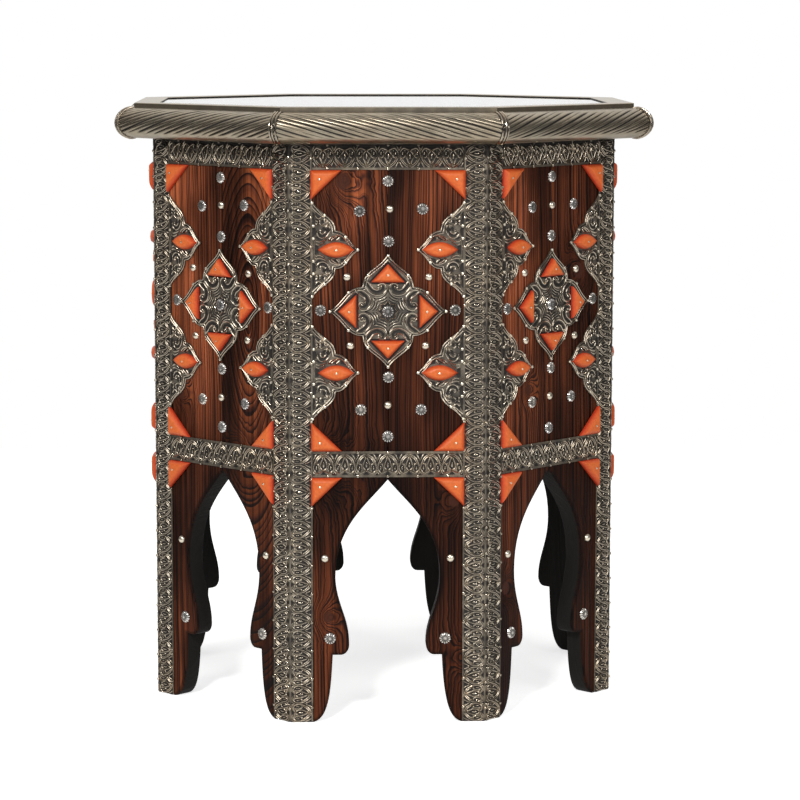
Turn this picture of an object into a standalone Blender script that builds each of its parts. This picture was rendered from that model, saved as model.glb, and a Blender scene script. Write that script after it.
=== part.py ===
"""Octagonal side table with metal and resin inlay.

Metres, +Z up. The floor is at zero and the front face, side 1, looks along -Y.
Sides and corners are numbered anticlockwise as seen from above.
Each face is drawn in its own frame: across to the right, outward from the table's axis, and up.
"""

import math

import bmesh
import bpy
from mathutils import Matrix, Vector

# Carcass
SIDES = 8
BODY_WIDTH = 0.4276            # across two opposite wooden faces
PLANK_THICKNESS = 0.019
SEAT_GAP = 0.0003              # left between pieces that touch

# Heights, stacked from the floor
WAIST_HEIGHT = 0.2266          # floor to the lower edge of the waist band
WAIST_BAND_HEIGHT = 0.0236
PANEL_HEIGHT = 0.2538          # bare wood between the two bands
TOP_BAND_HEIGHT = 0.0232
TOP_THICKNESS = 0.028
BORDER_THICKNESS = 0.0042
GLASS_THICKNESS = 0.003

# Table top
TOP_OVERHANG = 0.0186          # board edge beyond the wooden face
BORDER_WIDTH = 0.0233
RIM_REACH = 0.0163             # moulding beyond the board edge
RIM_STEP = 0.0042              # moulding top below the border's top
CUFF_LENGTH = 0.009            # along each side from the corner
CUFF_THICKNESS = 0.0012

# Legs, with widths measured from the corner
LEG_WIDTH = 0.0411             # at the widest point of the arch
TOE_WIDTH = 0.0536
FOOT_TOP_WIDTH = 0.0386
FOOT_MARGIN = 0.0006           # foot beyond the corner strip
FOOT_HEIGHT = 0.0625           # floor to the underside of the toe
TOE_RISE = 0.0095
TOE_ROUND = 0.0075
ARCH_WAIST_HEIGHT = 0.135      # floor to the widest point of the arch
ARCH_CROWN = 0.0026            # wood between the arch and the waist band

# Curve handles, as shares of the stretch that each curve spans
FOOT_HANDLES = ((0.18, 0.06), (0.10, 0.48))
FLANK_HANDLES = (0.36, 0.43)
SHOULDER_HANDLE = 0.52
KEEL_HANDLE = (0.42, 0.27)
PETAL_STRETCH = 0.52
PETAL_SWELL = 0.965            # near the notch
PETAL_WAIST = 0.35             # near the tip

# Metal sheets
SHEET_THICKNESS = 0.0009
STRIP_WIDTH = 0.0205           # on each side of a corner
STRIP_FLOOR_GAP = 0.001
MEDALLION_HEIGHT = 0.1036
MEDALLION_SIDE_MARGIN = 0.014  # room for a nail between a side tip and the strip
MEDALLION_NOTCH = (0.43, 0.43)  # where petals meet, as shares of the half sizes
SPANDREL_REACH = 0.0424
SPANDREL_NOTCH = (0.50, 0.40)
SPANDREL_SPACING = 0.024       # between the upper and the lower spandrel
SPANDREL_MARGIN = 0.0015       # between a corner triangle and a spandrel

# Resin pieces
RESIN_THICKNESS = 0.0068
RESIN_BEVEL = 0.0036
TRIANGLE_LEG = 0.0265
TRIANGLE_TUCK = 0.0012         # over the edge of the corner strip
LOZENGE_LENGTH = 0.0325
LOZENGE_HEIGHT = 0.0138
LOZENGE_TIP_MARGIN = 0.0045    # from a spandrel's tip
SMALL_TRIANGLE_BASE = 0.0305
SMALL_TRIANGLE_HEIGHT = 0.0165
SMALL_TRIANGLE_MARGIN = 0.009  # from a medallion's tip

# Smoothness of the curves
CURVE_STEPS = 5
SPANDREL_STEPS = 4
TOE_STEPS = 3
LOZENGE_STEPS = 4
RIM_STEPS = 8
SMOOTH_ANGLE = math.radians(50)

# Finishes: colour, roughness and metallic value
BURNT_PINE = ((0.085, 0.026, 0.012), 0.45, 0.0)
NICKEL_SILVER = ((0.34, 0.32, 0.28), 0.35, 1.0)
ORANGE_RESIN = ((0.80, 0.13, 0.03), 0.40, 0.0)
CLEAR_GLASS = ((0.85, 0.92, 0.90), 0.05, 0.0)

# Derived places
EIGHTH = 2 * math.pi / SIDES
SLOPE = math.tan(EIGHTH / 2)   # half a side for each unit of distance from the axis
MITRE_GAP = SEAT_GAP / 2 / math.cos(EIGHTH / 2)
BODY_REACH = BODY_WIDTH / 2
INNER_REACH = BODY_REACH - PLANK_THICKNESS
HALF_SIDE = BODY_REACH * SLOPE
STRIP_EDGE = HALF_SIDE - STRIP_WIDTH
PANEL_EDGE = STRIP_EDGE - SEAT_GAP
SHEET_BACK = BODY_REACH + SEAT_GAP
SHEET_FRONT = SHEET_BACK + SHEET_THICKNESS
SHEET_CORE = (SHEET_BACK + SHEET_FRONT) / 2

WAIST_TOP = WAIST_HEIGHT + WAIST_BAND_HEIGHT
PANEL_TOP = WAIST_TOP + PANEL_HEIGHT
PANEL_MIDDLE = WAIST_TOP + PANEL_HEIGHT / 2
PLANK_TOP = PANEL_TOP + TOP_BAND_HEIGHT
BOARD_BOTTOM = PLANK_TOP + SEAT_GAP
BOARD_TOP = BOARD_BOTTOM + TOP_THICKNESS
ON_BOARD = BOARD_TOP + SEAT_GAP
TABLE_HEIGHT = ON_BOARD + BORDER_THICKNESS
BOARD_REACH = BODY_REACH + TOP_OVERHANG
GLASS_REACH = BOARD_REACH - BORDER_WIDTH - SEAT_GAP

MEDALLION_HALF_WIDTH = PANEL_EDGE - MEDALLION_SIDE_MARGIN
MEDALLION_HALF_HEIGHT = MEDALLION_HEIGHT / 2
SPANDREL_HALF_HEIGHT = (PANEL_HEIGHT / 2 - TRIANGLE_LEG - SPANDREL_MARGIN - SPANDREL_SPACING / 2) / 2
SPANDREL_RISE = SPANDREL_SPACING / 2 + SPANDREL_HALF_HEIGHT


def clear_scene():
    for item in list(bpy.data.objects):
        bpy.data.objects.remove(item, do_unlink=True)


def finish(name, look):
    """Material with a colour, a roughness and a metallic value."""
    colour, roughness, metallic = look
    material = bpy.data.materials.new(name)
    material.use_nodes = True
    shader = material.node_tree.nodes["Principled BSDF"]
    shader.inputs["Base Color"].default_value = (*colour, 1.0)
    shader.inputs["Roughness"].default_value = roughness
    shader.inputs["Metallic"].default_value = metallic
    return material


def mesh_of(name, shape, materials, slot=0, round_piece=False):
    """Finish a bmesh as a mesh whose faces all use one of the materials."""
    bmesh.ops.recalc_face_normals(shape, faces=shape.faces)
    for face in shape.faces:
        face.material_index = slot
    mesh = bpy.data.meshes.new(name)
    shape.to_mesh(mesh)
    shape.free()
    for material in materials:
        mesh.materials.append(material)
    if round_piece:
        mesh.shade_smooth()
        mesh.set_sharp_from_angle(angle=SMOOTH_ANGLE)
    return mesh


def place(name, mesh, root, turn=0):
    """Put a mesh under the root empty, turned round to one of the faces."""
    piece = bpy.data.objects.new(name, mesh)
    bpy.context.scene.collection.objects.link(piece)
    piece.parent = root
    piece.rotation_euler.z = turn * EIGHTH
    return piece


def place_on_sides(ending, mesh, root):
    for turn in range(SIDES):
        place(f"side_{turn + 1}_{ending}", mesh, root, turn)


def with_pads(plate, pads, root):
    """Plate with its resin pads joined on, each keeping its own finish."""
    base = place(plate.name, plate, root)
    added = place(pads.name, pads, root)
    union = base.modifiers.new("pads", "BOOLEAN")
    union.operation = "UNION"
    union.object = added
    graph = bpy.context.evaluated_depsgraph_get()
    joined = bpy.data.meshes.new_from_object(base.evaluated_get(graph))
    for helper in (base, added):
        bpy.data.objects.remove(helper, do_unlink=True)
    return joined


def face_point(across, outward, height):
    return Vector((across, -outward, height))


def turned(points, index):
    """Points of the front face carried round to another face."""
    matrix = Matrix.Rotation(index * EIGHTH, 3, "Z")
    return [matrix @ point for point in points]


def bridge(shape, lower, upper):
    """Band of faces between two closed rings of vertices."""
    for here in range(len(lower)):
        after = (here + 1) % len(lower)
        shape.faces.new([lower[here], lower[after], upper[after], upper[here]])


def stack(shape, loops):
    """Closed solid through loops of equal length."""
    rings = [[shape.verts.new(point) for point in loop] for loop in loops]
    shape.faces.new(rings[0])
    for lower, upper in zip(rings, rings[1:]):
        bridge(shape, lower, upper)
    shape.faces.new(rings[-1])


def solid(loops):
    shape = bmesh.new()
    stack(shape, loops)
    return shape


def sheet_loops(outline):
    """Flat sheet on the front face, from an outline of (across, height) points."""
    return [[face_point(across, reach, height) for across, height in outline]
            for reach in (SHEET_BACK, SHEET_FRONT)]


def bezier(start, first, second, end, steps):
    """Points of a cubic curve, without its start."""
    points = []
    for step in range(1, steps + 1):
        t = step / steps
        weights = ((1 - t) ** 3, 3 * t * (1 - t) ** 2, 3 * t * t * (1 - t), t ** 3)
        pull = list(zip(weights, (start, first, second, end)))
        points.append(tuple(sum(weight * point[axis] for weight, point in pull) for axis in (0, 1)))
    return points


def mirrored(outline):
    return [(-across, height) for across, height in outline]


def leg_edge():
    """Inner edge of a right-hand leg, from the floor up to the point of the arch."""
    foot = STRIP_EDGE - FOOT_MARGIN
    foot_top = HALF_SIDE - FOOT_TOP_WIDTH
    toe = HALF_SIDE - TOE_WIDTH
    waist = HALF_SIDE - LEG_WIDTH
    apex = WAIST_HEIGHT - ARCH_CROWN
    toe_tip = FOOT_HEIGHT + TOE_RISE
    spread = foot - foot_top
    flank = ARCH_WAIST_HEIGHT - toe_tip
    rise = apex - ARCH_WAIST_HEIGHT
    points = [(foot, 0.0)]
    flare = [(foot_top + across * spread, up * FOOT_HEIGHT) for across, up in FOOT_HANDLES]
    points += bezier(points[-1], *flare, (foot_top, FOOT_HEIGHT), CURVE_STEPS)
    for step in range(TOE_STEPS + 1):
        angle = math.pi / 2 * step / TOE_STEPS
        points.append((toe + TOE_ROUND * (1 - math.sin(angle)), toe_tip - TOE_RISE * math.cos(angle)))
    widest = (waist, ARCH_WAIST_HEIGHT)
    points += bezier(points[-1], (toe, toe_tip + FLANK_HANDLES[0] * flank),
                     (waist, ARCH_WAIST_HEIGHT - FLANK_HANDLES[1] * flank), widest, CURVE_STEPS)
    keel = (KEEL_HANDLE[0] * waist, apex - KEEL_HANDLE[1] * rise)
    points += bezier(widest, (waist, ARCH_WAIST_HEIGHT + SHOULDER_HANDLE * rise),
                     keel, (SEAT_GAP / 2, apex), CURVE_STEPS)
    return points


def side_planks(root, wood):
    """Two mitred planks to a face, butted on its middle line, with half an arch in each."""
    for hand, sign in (("left", -1), ("right", 1)):
        loops = []
        for reach in (INNER_REACH, BODY_REACH):
            corner = reach * SLOPE - MITRE_GAP
            outline = [(SEAT_GAP / 2, PLANK_TOP), (corner, PLANK_TOP), (corner, 0.0)] + leg_edge()
            loops.append([face_point(sign * across, reach, height) for across, height in outline])
        place_on_sides(f"{hand}_plank", mesh_of(f"{hand}_plank", solid(loops), [wood]), root)


def octagon(reach, height):
    corner = [face_point(reach * SLOPE, reach, height)]
    return [turned(corner, index)[0] for index in range(SIDES)]


def table_top(root, wood, metal, glass):
    """Board with a metal border frame and a glass pane lying inside the frame."""
    board = solid([octagon(BOARD_REACH, BOARD_BOTTOM), octagon(BOARD_REACH, BOARD_TOP)])
    place("top_board", mesh_of("top_board", board, [wood]), root)
    pane = solid([octagon(GLASS_REACH, ON_BOARD), octagon(GLASS_REACH, ON_BOARD + GLASS_THICKNESS)])
    place("glass_top", mesh_of("glass_top", pane, [glass]), root)

    inside = GLASS_REACH + SEAT_GAP
    section = ((inside, ON_BOARD), (BOARD_REACH, ON_BOARD),
               (BOARD_REACH, TABLE_HEIGHT), (inside, TABLE_HEIGHT))
    frame = bmesh.new()
    rings = [[frame.verts.new(point) for point in octagon(*corner)] for corner in section]
    for here, ring in enumerate(rings):
        bridge(frame, rings[here - 1], ring)
    place("top_border", mesh_of("top_border", frame, [metal]), root)


def rim_arc(growth):
    """Half-round section as (reach, height) points, grown outward by a thickness."""
    top = TABLE_HEIGHT - RIM_STEP
    middle = (top + BOARD_BOTTOM) / 2
    half = (top - BOARD_BOTTOM) / 2 + growth
    back = BOARD_REACH + SEAT_GAP
    angles = [math.pi * (step / RIM_STEPS - 0.5) for step in range(RIM_STEPS + 1)]
    return [(back + (RIM_REACH + growth) * math.cos(angle), middle + half * math.sin(angle))
            for angle in angles]


def rim(root, metal):
    """Half-round moulding along each side, with half a corner cuff standing proud at each end."""
    plain, proud = rim_arc(0), rim_arc(CUFF_THICKNESS)
    loops = []
    for sign, order in ((-1, 1), (1, -1)):
        end = [face_point(sign * (reach * SLOPE - MITRE_GAP), reach, height) for reach, height in proud]
        cuff, bar = ([face_point(sign * (reach * SLOPE - CUFF_LENGTH), reach, height)
                      for reach, height in arc] for arc in (proud, plain))
        loops += [end, cuff, bar][::order]
    mesh = mesh_of("rim_moulding", solid(loops), [metal], round_piece=True)
    place_on_sides("rim_moulding", mesh, root)


def bands(root, metal):
    """Flat bands between the corner strips, round the waist and under the table top."""
    levels = (("waist_band", WAIST_HEIGHT, WAIST_TOP), ("top_band", PANEL_TOP, PLANK_TOP))
    for ending, low, high in levels:
        outline = [(-PANEL_EDGE, low), (PANEL_EDGE, low), (PANEL_EDGE, high), (-PANEL_EDGE, high)]
        place_on_sides(ending, mesh_of(ending, solid(sheet_loops(outline)), [metal]), root)


def quarter_star(half_width, half_height, notch, steps):
    """Quarter of a four-petalled star, from its top tip through the notch to its right tip."""
    across, up = notch[0] * half_width, notch[1] * half_height
    high = up + PETAL_STRETCH * (half_height - up)
    wide = across + PETAL_STRETCH * (half_width - across)
    top, middle, right = (0.0, half_height), (across, up), (half_width, 0.0)
    upper = bezier(top, (PETAL_WAIST * across, high), (PETAL_SWELL * across, high), middle, steps)
    lower = bezier(middle, (wide, PETAL_SWELL * up), (wide, PETAL_WAIST * up), right, steps)
    return [top] + upper + lower


def half_star(half_width, half_height, notch, steps):
    """Right half of the star, from its top tip to its bottom tip."""
    quarter = quarter_star(half_width, half_height, notch, steps)
    return quarter + [(across, -height) for across, height in quarter[-2::-1]]


def bevelled_loops(outline, centre, inner_radius):
    """Resin piece set into a sheet, with an upright edge and a bevel round its flat top."""
    bevel = min(RESIN_BEVEL, inner_radius / 2)
    share = 1 - bevel / inner_radius
    top = [(centre[0] + (across - centre[0]) * share, centre[1] + (height - centre[1]) * share)
           for across, height in outline]
    front = SHEET_BACK + RESIN_THICKNESS
    levels = ((outline, SHEET_CORE), (outline, front - bevel), (top, front))
    return [[face_point(across, reach, height) for across, height in points] for points, reach in levels]


def inscribed(outline):
    """Centre and radius of the circle inside a triangle."""
    a, b, c = (Vector(point) for point in outline)
    sides = ((b - c).length, (c - a).length, (a - b).length)
    centre = (a * sides[0] + b * sides[1] + c * sides[2]) / sum(sides)
    half = sum(sides) / 2
    area = math.sqrt(half * (half - sides[0]) * (half - sides[1]) * (half - sides[2]))
    return centre, area / half


def medallions(root, metal, resin):
    """Four-petalled plate in the middle of each panel, with a resin triangle in each petal."""
    half = half_star(MEDALLION_HALF_WIDTH, MEDALLION_HALF_HEIGHT, MEDALLION_NOTCH, CURVE_STEPS)
    star = half + mirrored(half[-2:0:-1])
    plate = solid(sheet_loops([(across, PANEL_MIDDLE + height) for across, height in star]))
    pads = bmesh.new()
    for way in (Vector((0, 1)), Vector((1, 0)), Vector((0, -1)), Vector((-1, 0))):
        tip = MEDALLION_HALF_HEIGHT if way.x == 0 else MEDALLION_HALF_WIDTH
        apex = tip - SMALL_TRIANGLE_MARGIN
        beside = Vector((-way.y, way.x)) * SMALL_TRIANGLE_BASE / 2
        base = way * (apex - SMALL_TRIANGLE_HEIGHT)
        corners = (way * apex, base + beside, base - beside)
        outline = [(point.x, PANEL_MIDDLE + point.y) for point in corners]
        stack(pads, bevelled_loops(outline, *inscribed(outline)))
    mesh = with_pads(mesh_of("medallion", plate, [metal, resin]),
                     mesh_of("medallion_triangles", pads, [metal, resin], slot=1), root)
    place_on_sides("medallion", mesh, root)


def folded_sheet(outline):
    """Sheet folded over the corner to the right of the front face, with the same wing on both sides.

    The wing's outline starts and ends on the fold, where the corner gives its across value.
    """
    shape = bmesh.new()
    folds = {(reach, end): shape.verts.new(face_point(reach * SLOPE, reach, outline[end][1]))
             for reach in (SHEET_BACK, SHEET_FRONT) for end in (0, -1)}
    for index, sign in ((0, 1), (1, -1)):
        rings = []
        for reach in (SHEET_BACK, SHEET_FRONT):
            flat = [face_point(sign * across, reach, height) for across, height in outline[1:-1]]
            wing = [shape.verts.new(point) for point in turned(flat, index)]
            rings.append([folds[reach, 0], *wing, folds[reach, -1]])
        for ring in rings:
            shape.faces.new(ring)
        for here in range(len(outline) - 1):
            shape.faces.new([rings[0][here], rings[0][here + 1], rings[1][here + 1], rings[1][here]])
    return shape


def wing_pads():
    """Resin outlines on one wing: lozenges on the spandrels, triangles beside the bands."""
    found = []
    reach, rise = LOZENGE_LENGTH / 2, LOZENGE_HEIGHT / 2
    shares = [2 * step / LOZENGE_STEPS - 1 for step in range(LOZENGE_STEPS)]
    upper = [(reach * share, rise * (1 - share * share)) for share in shares]
    oval = upper + [(-across, -height) for across, height in upper]
    middle = STRIP_EDGE - SPANDREL_REACH + LOZENGE_TIP_MARGIN + reach
    for level in (PANEL_MIDDLE + SPANDREL_RISE, PANEL_MIDDLE - SPANDREL_RISE):
        outline = [(middle + across, level + height) for across, height in oval]
        found.append((outline, (middle, level), rise))
    outer, tip = STRIP_EDGE + TRIANGLE_TUCK, STRIP_EDGE - TRIANGLE_LEG
    seats = ((PANEL_TOP - SEAT_GAP, -1), (WAIST_TOP + SEAT_GAP, 1), (WAIST_HEIGHT - SEAT_GAP, -1))
    for edge, way in seats:
        outline = [(outer, edge), (outer, edge + way * TRIANGLE_LEG), (tip, edge)]
        found.append((outline, *inscribed(outline)))
    return found


def corner_strips(root, metal, resin):
    """Folded strip over each corner, with half-star spandrels and resin pieces on both wings."""
    half = half_star(SPANDREL_REACH, SPANDREL_HALF_HEIGHT, SPANDREL_NOTCH, SPANDREL_STEPS)
    wing = [(HALF_SIDE, STRIP_FLOOR_GAP), (STRIP_EDGE, STRIP_FLOOR_GAP)]
    for level in (PANEL_MIDDLE - SPANDREL_RISE, PANEL_MIDDLE + SPANDREL_RISE):
        wing += [(STRIP_EDGE - across, level + height) for across, height in reversed(half)]
    wing += [(STRIP_EDGE, PLANK_TOP), (HALF_SIDE, PLANK_TOP)]
    pads = bmesh.new()
    for outline, centre, inner_radius in wing_pads():
        stack(pads, bevelled_loops(outline, centre, inner_radius))
        beyond = bevelled_loops(mirrored(outline), (-centre[0], centre[1]), inner_radius)
        stack(pads, [turned(loop, 1) for loop in beyond])
    mesh = with_pads(mesh_of("corner_strip", folded_sheet(wing), [metal, resin]),
                     mesh_of("strip_resin", pads, [metal, resin], slot=1), root)
    for turn in range(SIDES):
        place(f"corner_strip_{turn + 1}", mesh, root, turn)


def main():
    clear_scene()
    root = bpy.data.objects.new("side_table", None)
    bpy.context.scene.collection.objects.link(root)
    wood = finish("burnt_pine", BURNT_PINE)
    metal = finish("nickel_silver", NICKEL_SILVER)
    resin = finish("orange_resin", ORANGE_RESIN)
    glass = finish("clear_glass", CLEAR_GLASS)
    side_planks(root, wood)
    table_top(root, wood, metal, glass)
    rim(root, metal)
    bands(root, metal)
    medallions(root, metal, resin)
    corner_strips(root, metal, resin)


main()
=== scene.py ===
"""Looks of the octagonal side table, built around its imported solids.

Metres, +Z up. A face is drawn as (across, up, out) points for side 1, which looks along -Y,
and its pieces are turned about the table's axis to the other sides.
"""

import math

import bmesh
import bpy
import numpy as np
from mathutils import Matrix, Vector

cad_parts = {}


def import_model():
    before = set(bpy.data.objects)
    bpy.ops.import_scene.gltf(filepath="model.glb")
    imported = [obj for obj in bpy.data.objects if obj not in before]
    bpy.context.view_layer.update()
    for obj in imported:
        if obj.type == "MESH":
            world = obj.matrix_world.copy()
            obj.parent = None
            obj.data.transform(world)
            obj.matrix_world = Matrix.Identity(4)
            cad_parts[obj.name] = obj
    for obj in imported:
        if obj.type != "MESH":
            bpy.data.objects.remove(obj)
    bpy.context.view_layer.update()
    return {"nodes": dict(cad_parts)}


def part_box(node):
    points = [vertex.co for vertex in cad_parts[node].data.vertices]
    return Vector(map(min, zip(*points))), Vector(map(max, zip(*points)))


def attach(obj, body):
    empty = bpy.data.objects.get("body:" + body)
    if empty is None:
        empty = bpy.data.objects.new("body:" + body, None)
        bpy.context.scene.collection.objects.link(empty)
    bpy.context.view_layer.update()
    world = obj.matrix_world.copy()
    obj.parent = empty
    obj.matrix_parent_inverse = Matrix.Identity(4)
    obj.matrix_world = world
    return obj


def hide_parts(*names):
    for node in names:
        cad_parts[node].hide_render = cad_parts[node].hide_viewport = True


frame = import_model()

SIDES = 8
EIGHTH = math.tau / SIDES
SLOPE = math.tan(EIGHTH / 2)   # half a side for each unit of distance from the axis
MM = 0.001
SEED = 7

# Places read from the solids
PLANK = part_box("side_1_right_plank")
WAIST_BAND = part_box("side_1_waist_band")
TOP_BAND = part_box("side_1_top_band")
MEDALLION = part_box("side_1_medallion")
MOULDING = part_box("side_1_rim_moulding")
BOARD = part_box("top_board")
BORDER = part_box("top_border")
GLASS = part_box("glass_top")

SEAT_GAP = 0.0003
BODY_REACH = -PLANK[0].y
INNER_REACH = -PLANK[1].y
PLANK_TOP = PLANK[1].z
HALF_SIDE = BODY_REACH * SLOPE
PANEL_EDGE = WAIST_BAND[1].x
STRIP_EDGE = PANEL_EDGE + SEAT_GAP
SHEET_BACK = -WAIST_BAND[1].y
SHEET_FRONT = -WAIST_BAND[0].y
WAIST_LOW = WAIST_BAND[0].z
WAIST_TOP = WAIST_BAND[1].z
PANEL_TOP = TOP_BAND[0].z
PANEL_MIDDLE = (WAIST_TOP + PANEL_TOP) / 2
STAR_HALF_WIDTH = MEDALLION[1].x
STAR_HALF_HEIGHT = (MEDALLION[1].z - MEDALLION[0].z) / 2
RESIN_FRONT = -MEDALLION[0].y
BOARD_REACH = BOARD[1].y
GLASS_REACH = GLASS[1].y
TABLE_TOP = BORDER[1].z

# Planks
EDGE_ROUND = 0.0013
EDGE_STEPS = 3
MITRE_GAP = 0.00016
JOINT_GAP = 0.00002
TOE_WIDTH = 0.0536
LEG_WIDTH = 0.0411
FOOT_TOP_WIDTH = 0.0386
FOOT_MARGIN = 0.0006
FOOT_HEIGHT = 0.0625
TOE_RISE = 0.0095
TOE_ROUND = 0.0075
ARCH_WAIST_HEIGHT = 0.135
ARCH_CROWN = 0.0026
FOOT_HANDLES = ((0.18, 0.06), (0.10, 0.48))
FLANK_HANDLES = (0.36, 0.43)
SHOULDER_HANDLE = 0.52
KEEL_HANDLE = (0.42, 0.27)
LEG_STEPS = 14

# Chased metal
SHEET_CREST = 0.40             # wear of the sheet between ribs and hollows
GROUND_CREST = 0.34            # of the plates behind volutes
RIB_FOOT_CREST = 0.25
RIB_WIDTH = 0.0013
RIB_HEIGHT = 0.0012
RIB_POINTS = 5
RIB_SINK = 0.00015
RIB_END = 0.35                 # thickness of a rib's end, as a share of its middle
HOLLOW_LIFT = 0.00006
DISH_RISE = 0.0004             # of a hollow's edge over its floor
DISH_SPREAD = 0.0003           # of a hollow's edge under the ribs round it
DISH_CREST = 0.1
PALMETTE_RIB_WIDTH = 0.0013
PALMETTE_RIB_HEIGHT = 0.0010
EDGE_RIB_WIDTH = 0.0019
EDGE_RIB_HEIGHT = 0.0004
EDGE_CREST = 0.75
STRIP_EDGE_CREST = 0.45
BAND_PITCH = 0.0186
STRIP_PITCH = 0.0172
BEAD_WIDTH = 0.0010            # over the fold of a corner strip
BEAD_HEIGHT = 0.0005
BEAD_CREST = 0.32
STRIP_FLOOR_GAP = 0.001
RIM_SHADE_DEPTH = 0.010             # depth of the painted shade under the rim, where the rim shadows the metal
RIM_SHADE_CREST = 0.35
STRIP_LEVELS = (STRIP_FLOOR_GAP, PLANK_TOP - RIM_SHADE_DEPTH, PLANK_TOP)

# Palmette, half of it as shares of half its pitch and half its height, with its apex up
PALMETTE_LINES = (
    ((0.0, 0.95), (0.30, 0.82), (0.60, 0.58), (0.85, 0.18), (0.92, -0.20), (0.83, -0.56), (0.56, -0.76),
     (0.26, -0.66), (0.0, -0.55)),
    ((0.06, 0.78), (0.29, 0.65), (0.53, 0.43), (0.73, 0.10)),
    ((0.0, 0.72), (0.17, 0.40), (0.31, 0.04), (0.30, -0.20), (0.20, -0.40), (0.0, -0.54)),
    ((0.73, 0.08), (0.54, 0.04), (0.44, -0.18), (0.44, -0.48), (0.55, -0.72)),
    ((1.0, 0.36), (0.86, 0.60), (0.64, 0.96)),
    ((1.0, -0.50), (0.92, -0.74), (0.78, -0.96)),
)
PALMETTE_HOLLOWS = (
    ((0.10, 0.62), (0.29, 0.52), (0.48, 0.33), (0.62, 0.12), (0.46, 0.11), (0.34, 0.20), (0.20, 0.44)),
    ((0.60, -0.06), (0.76, -0.04), (0.83, -0.22), (0.76, -0.50), (0.60, -0.64), (0.52, -0.46), (0.53, -0.20)),
    ((0.0, 0.42), (0.13, 0.16), (0.19, -0.06), (0.17, -0.26), (0.08, -0.40), (0.0, -0.42)),
    ((1.0, 0.50), (0.92, 0.66), (0.78, 0.92), (1.0, 0.92)),
    ((0.98, 0.18), (0.84, 0.44), (0.66, 0.72), (0.52, 0.92), (0.38, 0.90), (0.62, 0.68), (0.82, 0.36), (0.94, 0.08)),
    ((1.0, -0.64), (0.95, -0.80), (0.88, -0.94), (1.0, -0.94)),
    ((0.0, -0.70), (0.13, -0.78), (0.24, -0.90), (0.0, -0.90)),
)
PALMETTE_EYE = ((0.0, -0.05), (0.100, 0.30))     # leaf in its eye: place and radii, as the same shares
PALMETTE_LEAF = ((0.67, -0.32), (0.075, 0.19))   # leaf in each of its lower hollows
LEAF_HEIGHT = 0.0008

# Four-petalled medallion and half-star spandrels
STAR_NOTCH = (0.43, 0.43)
PETAL_STRETCH = 0.52
PETAL_SWELL = 0.965
PETAL_WAIST = 0.35
STAR_STEPS = 9
OUTLINE_INSETS = (0.0007, 0.0029)
OUTLINE_GAP = (0.0013, 0.0023)
OUTLINE_WIDTH = 0.0014
OUTLINE_HEIGHT = 0.0010
VOLUTE_WIDTH = 0.0018
VOLUTE_INSET = 0.0003          # of the dark channel from its drawn outline
VOLUTE_HEIGHT = 0.0014
VOLUTE_CREST = 0.85
VOLUTE_MM = ((19.4, 28.6), (19.2, 22.2), (15.2, 17.0), (9.8, 14.8), (4.2, 16.0), (1.2, 20.2), (2.5, 24.6),
             (6.2, 25.4), (8.6, 22.8), (7.2, 20.4))
VOLUTE_LEAF_MM = ((19.4, 28.6), (15.4, 24.6), (12.8, 21.0), (9.8, 19.6), (7.2, 20.4))
VOLUTE_HOLLOW_MM = ((18.6, 26.6), (18.0, 22.8), (14.4, 18.2), (9.8, 16.2), (5.3, 17.4), (2.8, 20.4), (3.6, 23.6),
                    (5.0, 24.0), (4.9, 21.4), (6.6, 19.2), (9.8, 18.4), (13.4, 19.8), (16.0, 23.2))
CURL_MM = (5.9, 22.6)          # boss inside each volute
RIPPLE_CENTRE_MM = (9.8, 21.2)
RIPPLE_RADII_MM = (8.8, 11.0, 13.2)
RIPPLE_WIDTH = 0.0012
RIPPLE_HEIGHT = 0.0007
RIPPLE_GAP_MM = (0.65, 1.50)   # dark line outside each ripple
RIPPLE_CLEARANCE_MM = 9.4      # from the medallion's middle
ROSETTE_TIP = 0.0088
ROSETTE_VALLEY = 0.0070

SPANDREL_REACH = 0.0424
SPANDREL_NOTCH = (0.50, 0.40)
SPANDREL_SPACING = 0.024
SPANDREL_MARGIN = 0.0015
SPANDREL_RIB_WIDTH = 0.0016
SPANDREL_LINES_MM = (
    ((14.3, 22.9), (16.0, 19.5), (15.7, 16.4), (13.3, 12.3), (9.9, 10.6), (6.5, 11.6), (4.4, 14.7), (4.8, 17.4)),
    ((14.3, 22.9), (12.3, 19.8), (12.3, 16.7), (10.6, 14.7), (8.2, 14.7), (7.2, 16.7), (8.5, 18.1)),
    ((9.9, 21.6), (12.0, 21.8), (14.3, 23.2)),
    ((14.4, 7.6), (17.4, 11.4), (22.8, 13.0), (25.6, 12.2)),
    ((16.4, 7.6), (19.2, 10.2), (23.2, 12.6)),
    ((21.0, 7.8), (23.4, 9.8), (24.9, 11.6)),
    ((26.8, 12.0), (30.8, 8.8), (37.6, 1.8)),
    ((2.6, 8.6), (5.8, 7.4), (9.9, 8.2), (13.6, 9.8)),
    ((2.6, 6.2), (5.8, 4.6), (8.6, 5.4), (11.4, 7.0)),
    ((3.0, 38.4), (7.2, 33.6), (11.3, 28.8)),
    ((2.2, 31.7), (5.8, 28.0), (9.4, 30.6)),
    ((7.5, 27.0), (6.8, 23.9), (9.6, 21.6)),
    ((3.0, 27.2), (4.6, 24.6), (3.0, 21.4)),
    ((12.2, 28.0), (11.0, 26.2), (12.6, 24.8), (14.0, 26.2), (12.2, 28.0)),
)
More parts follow.
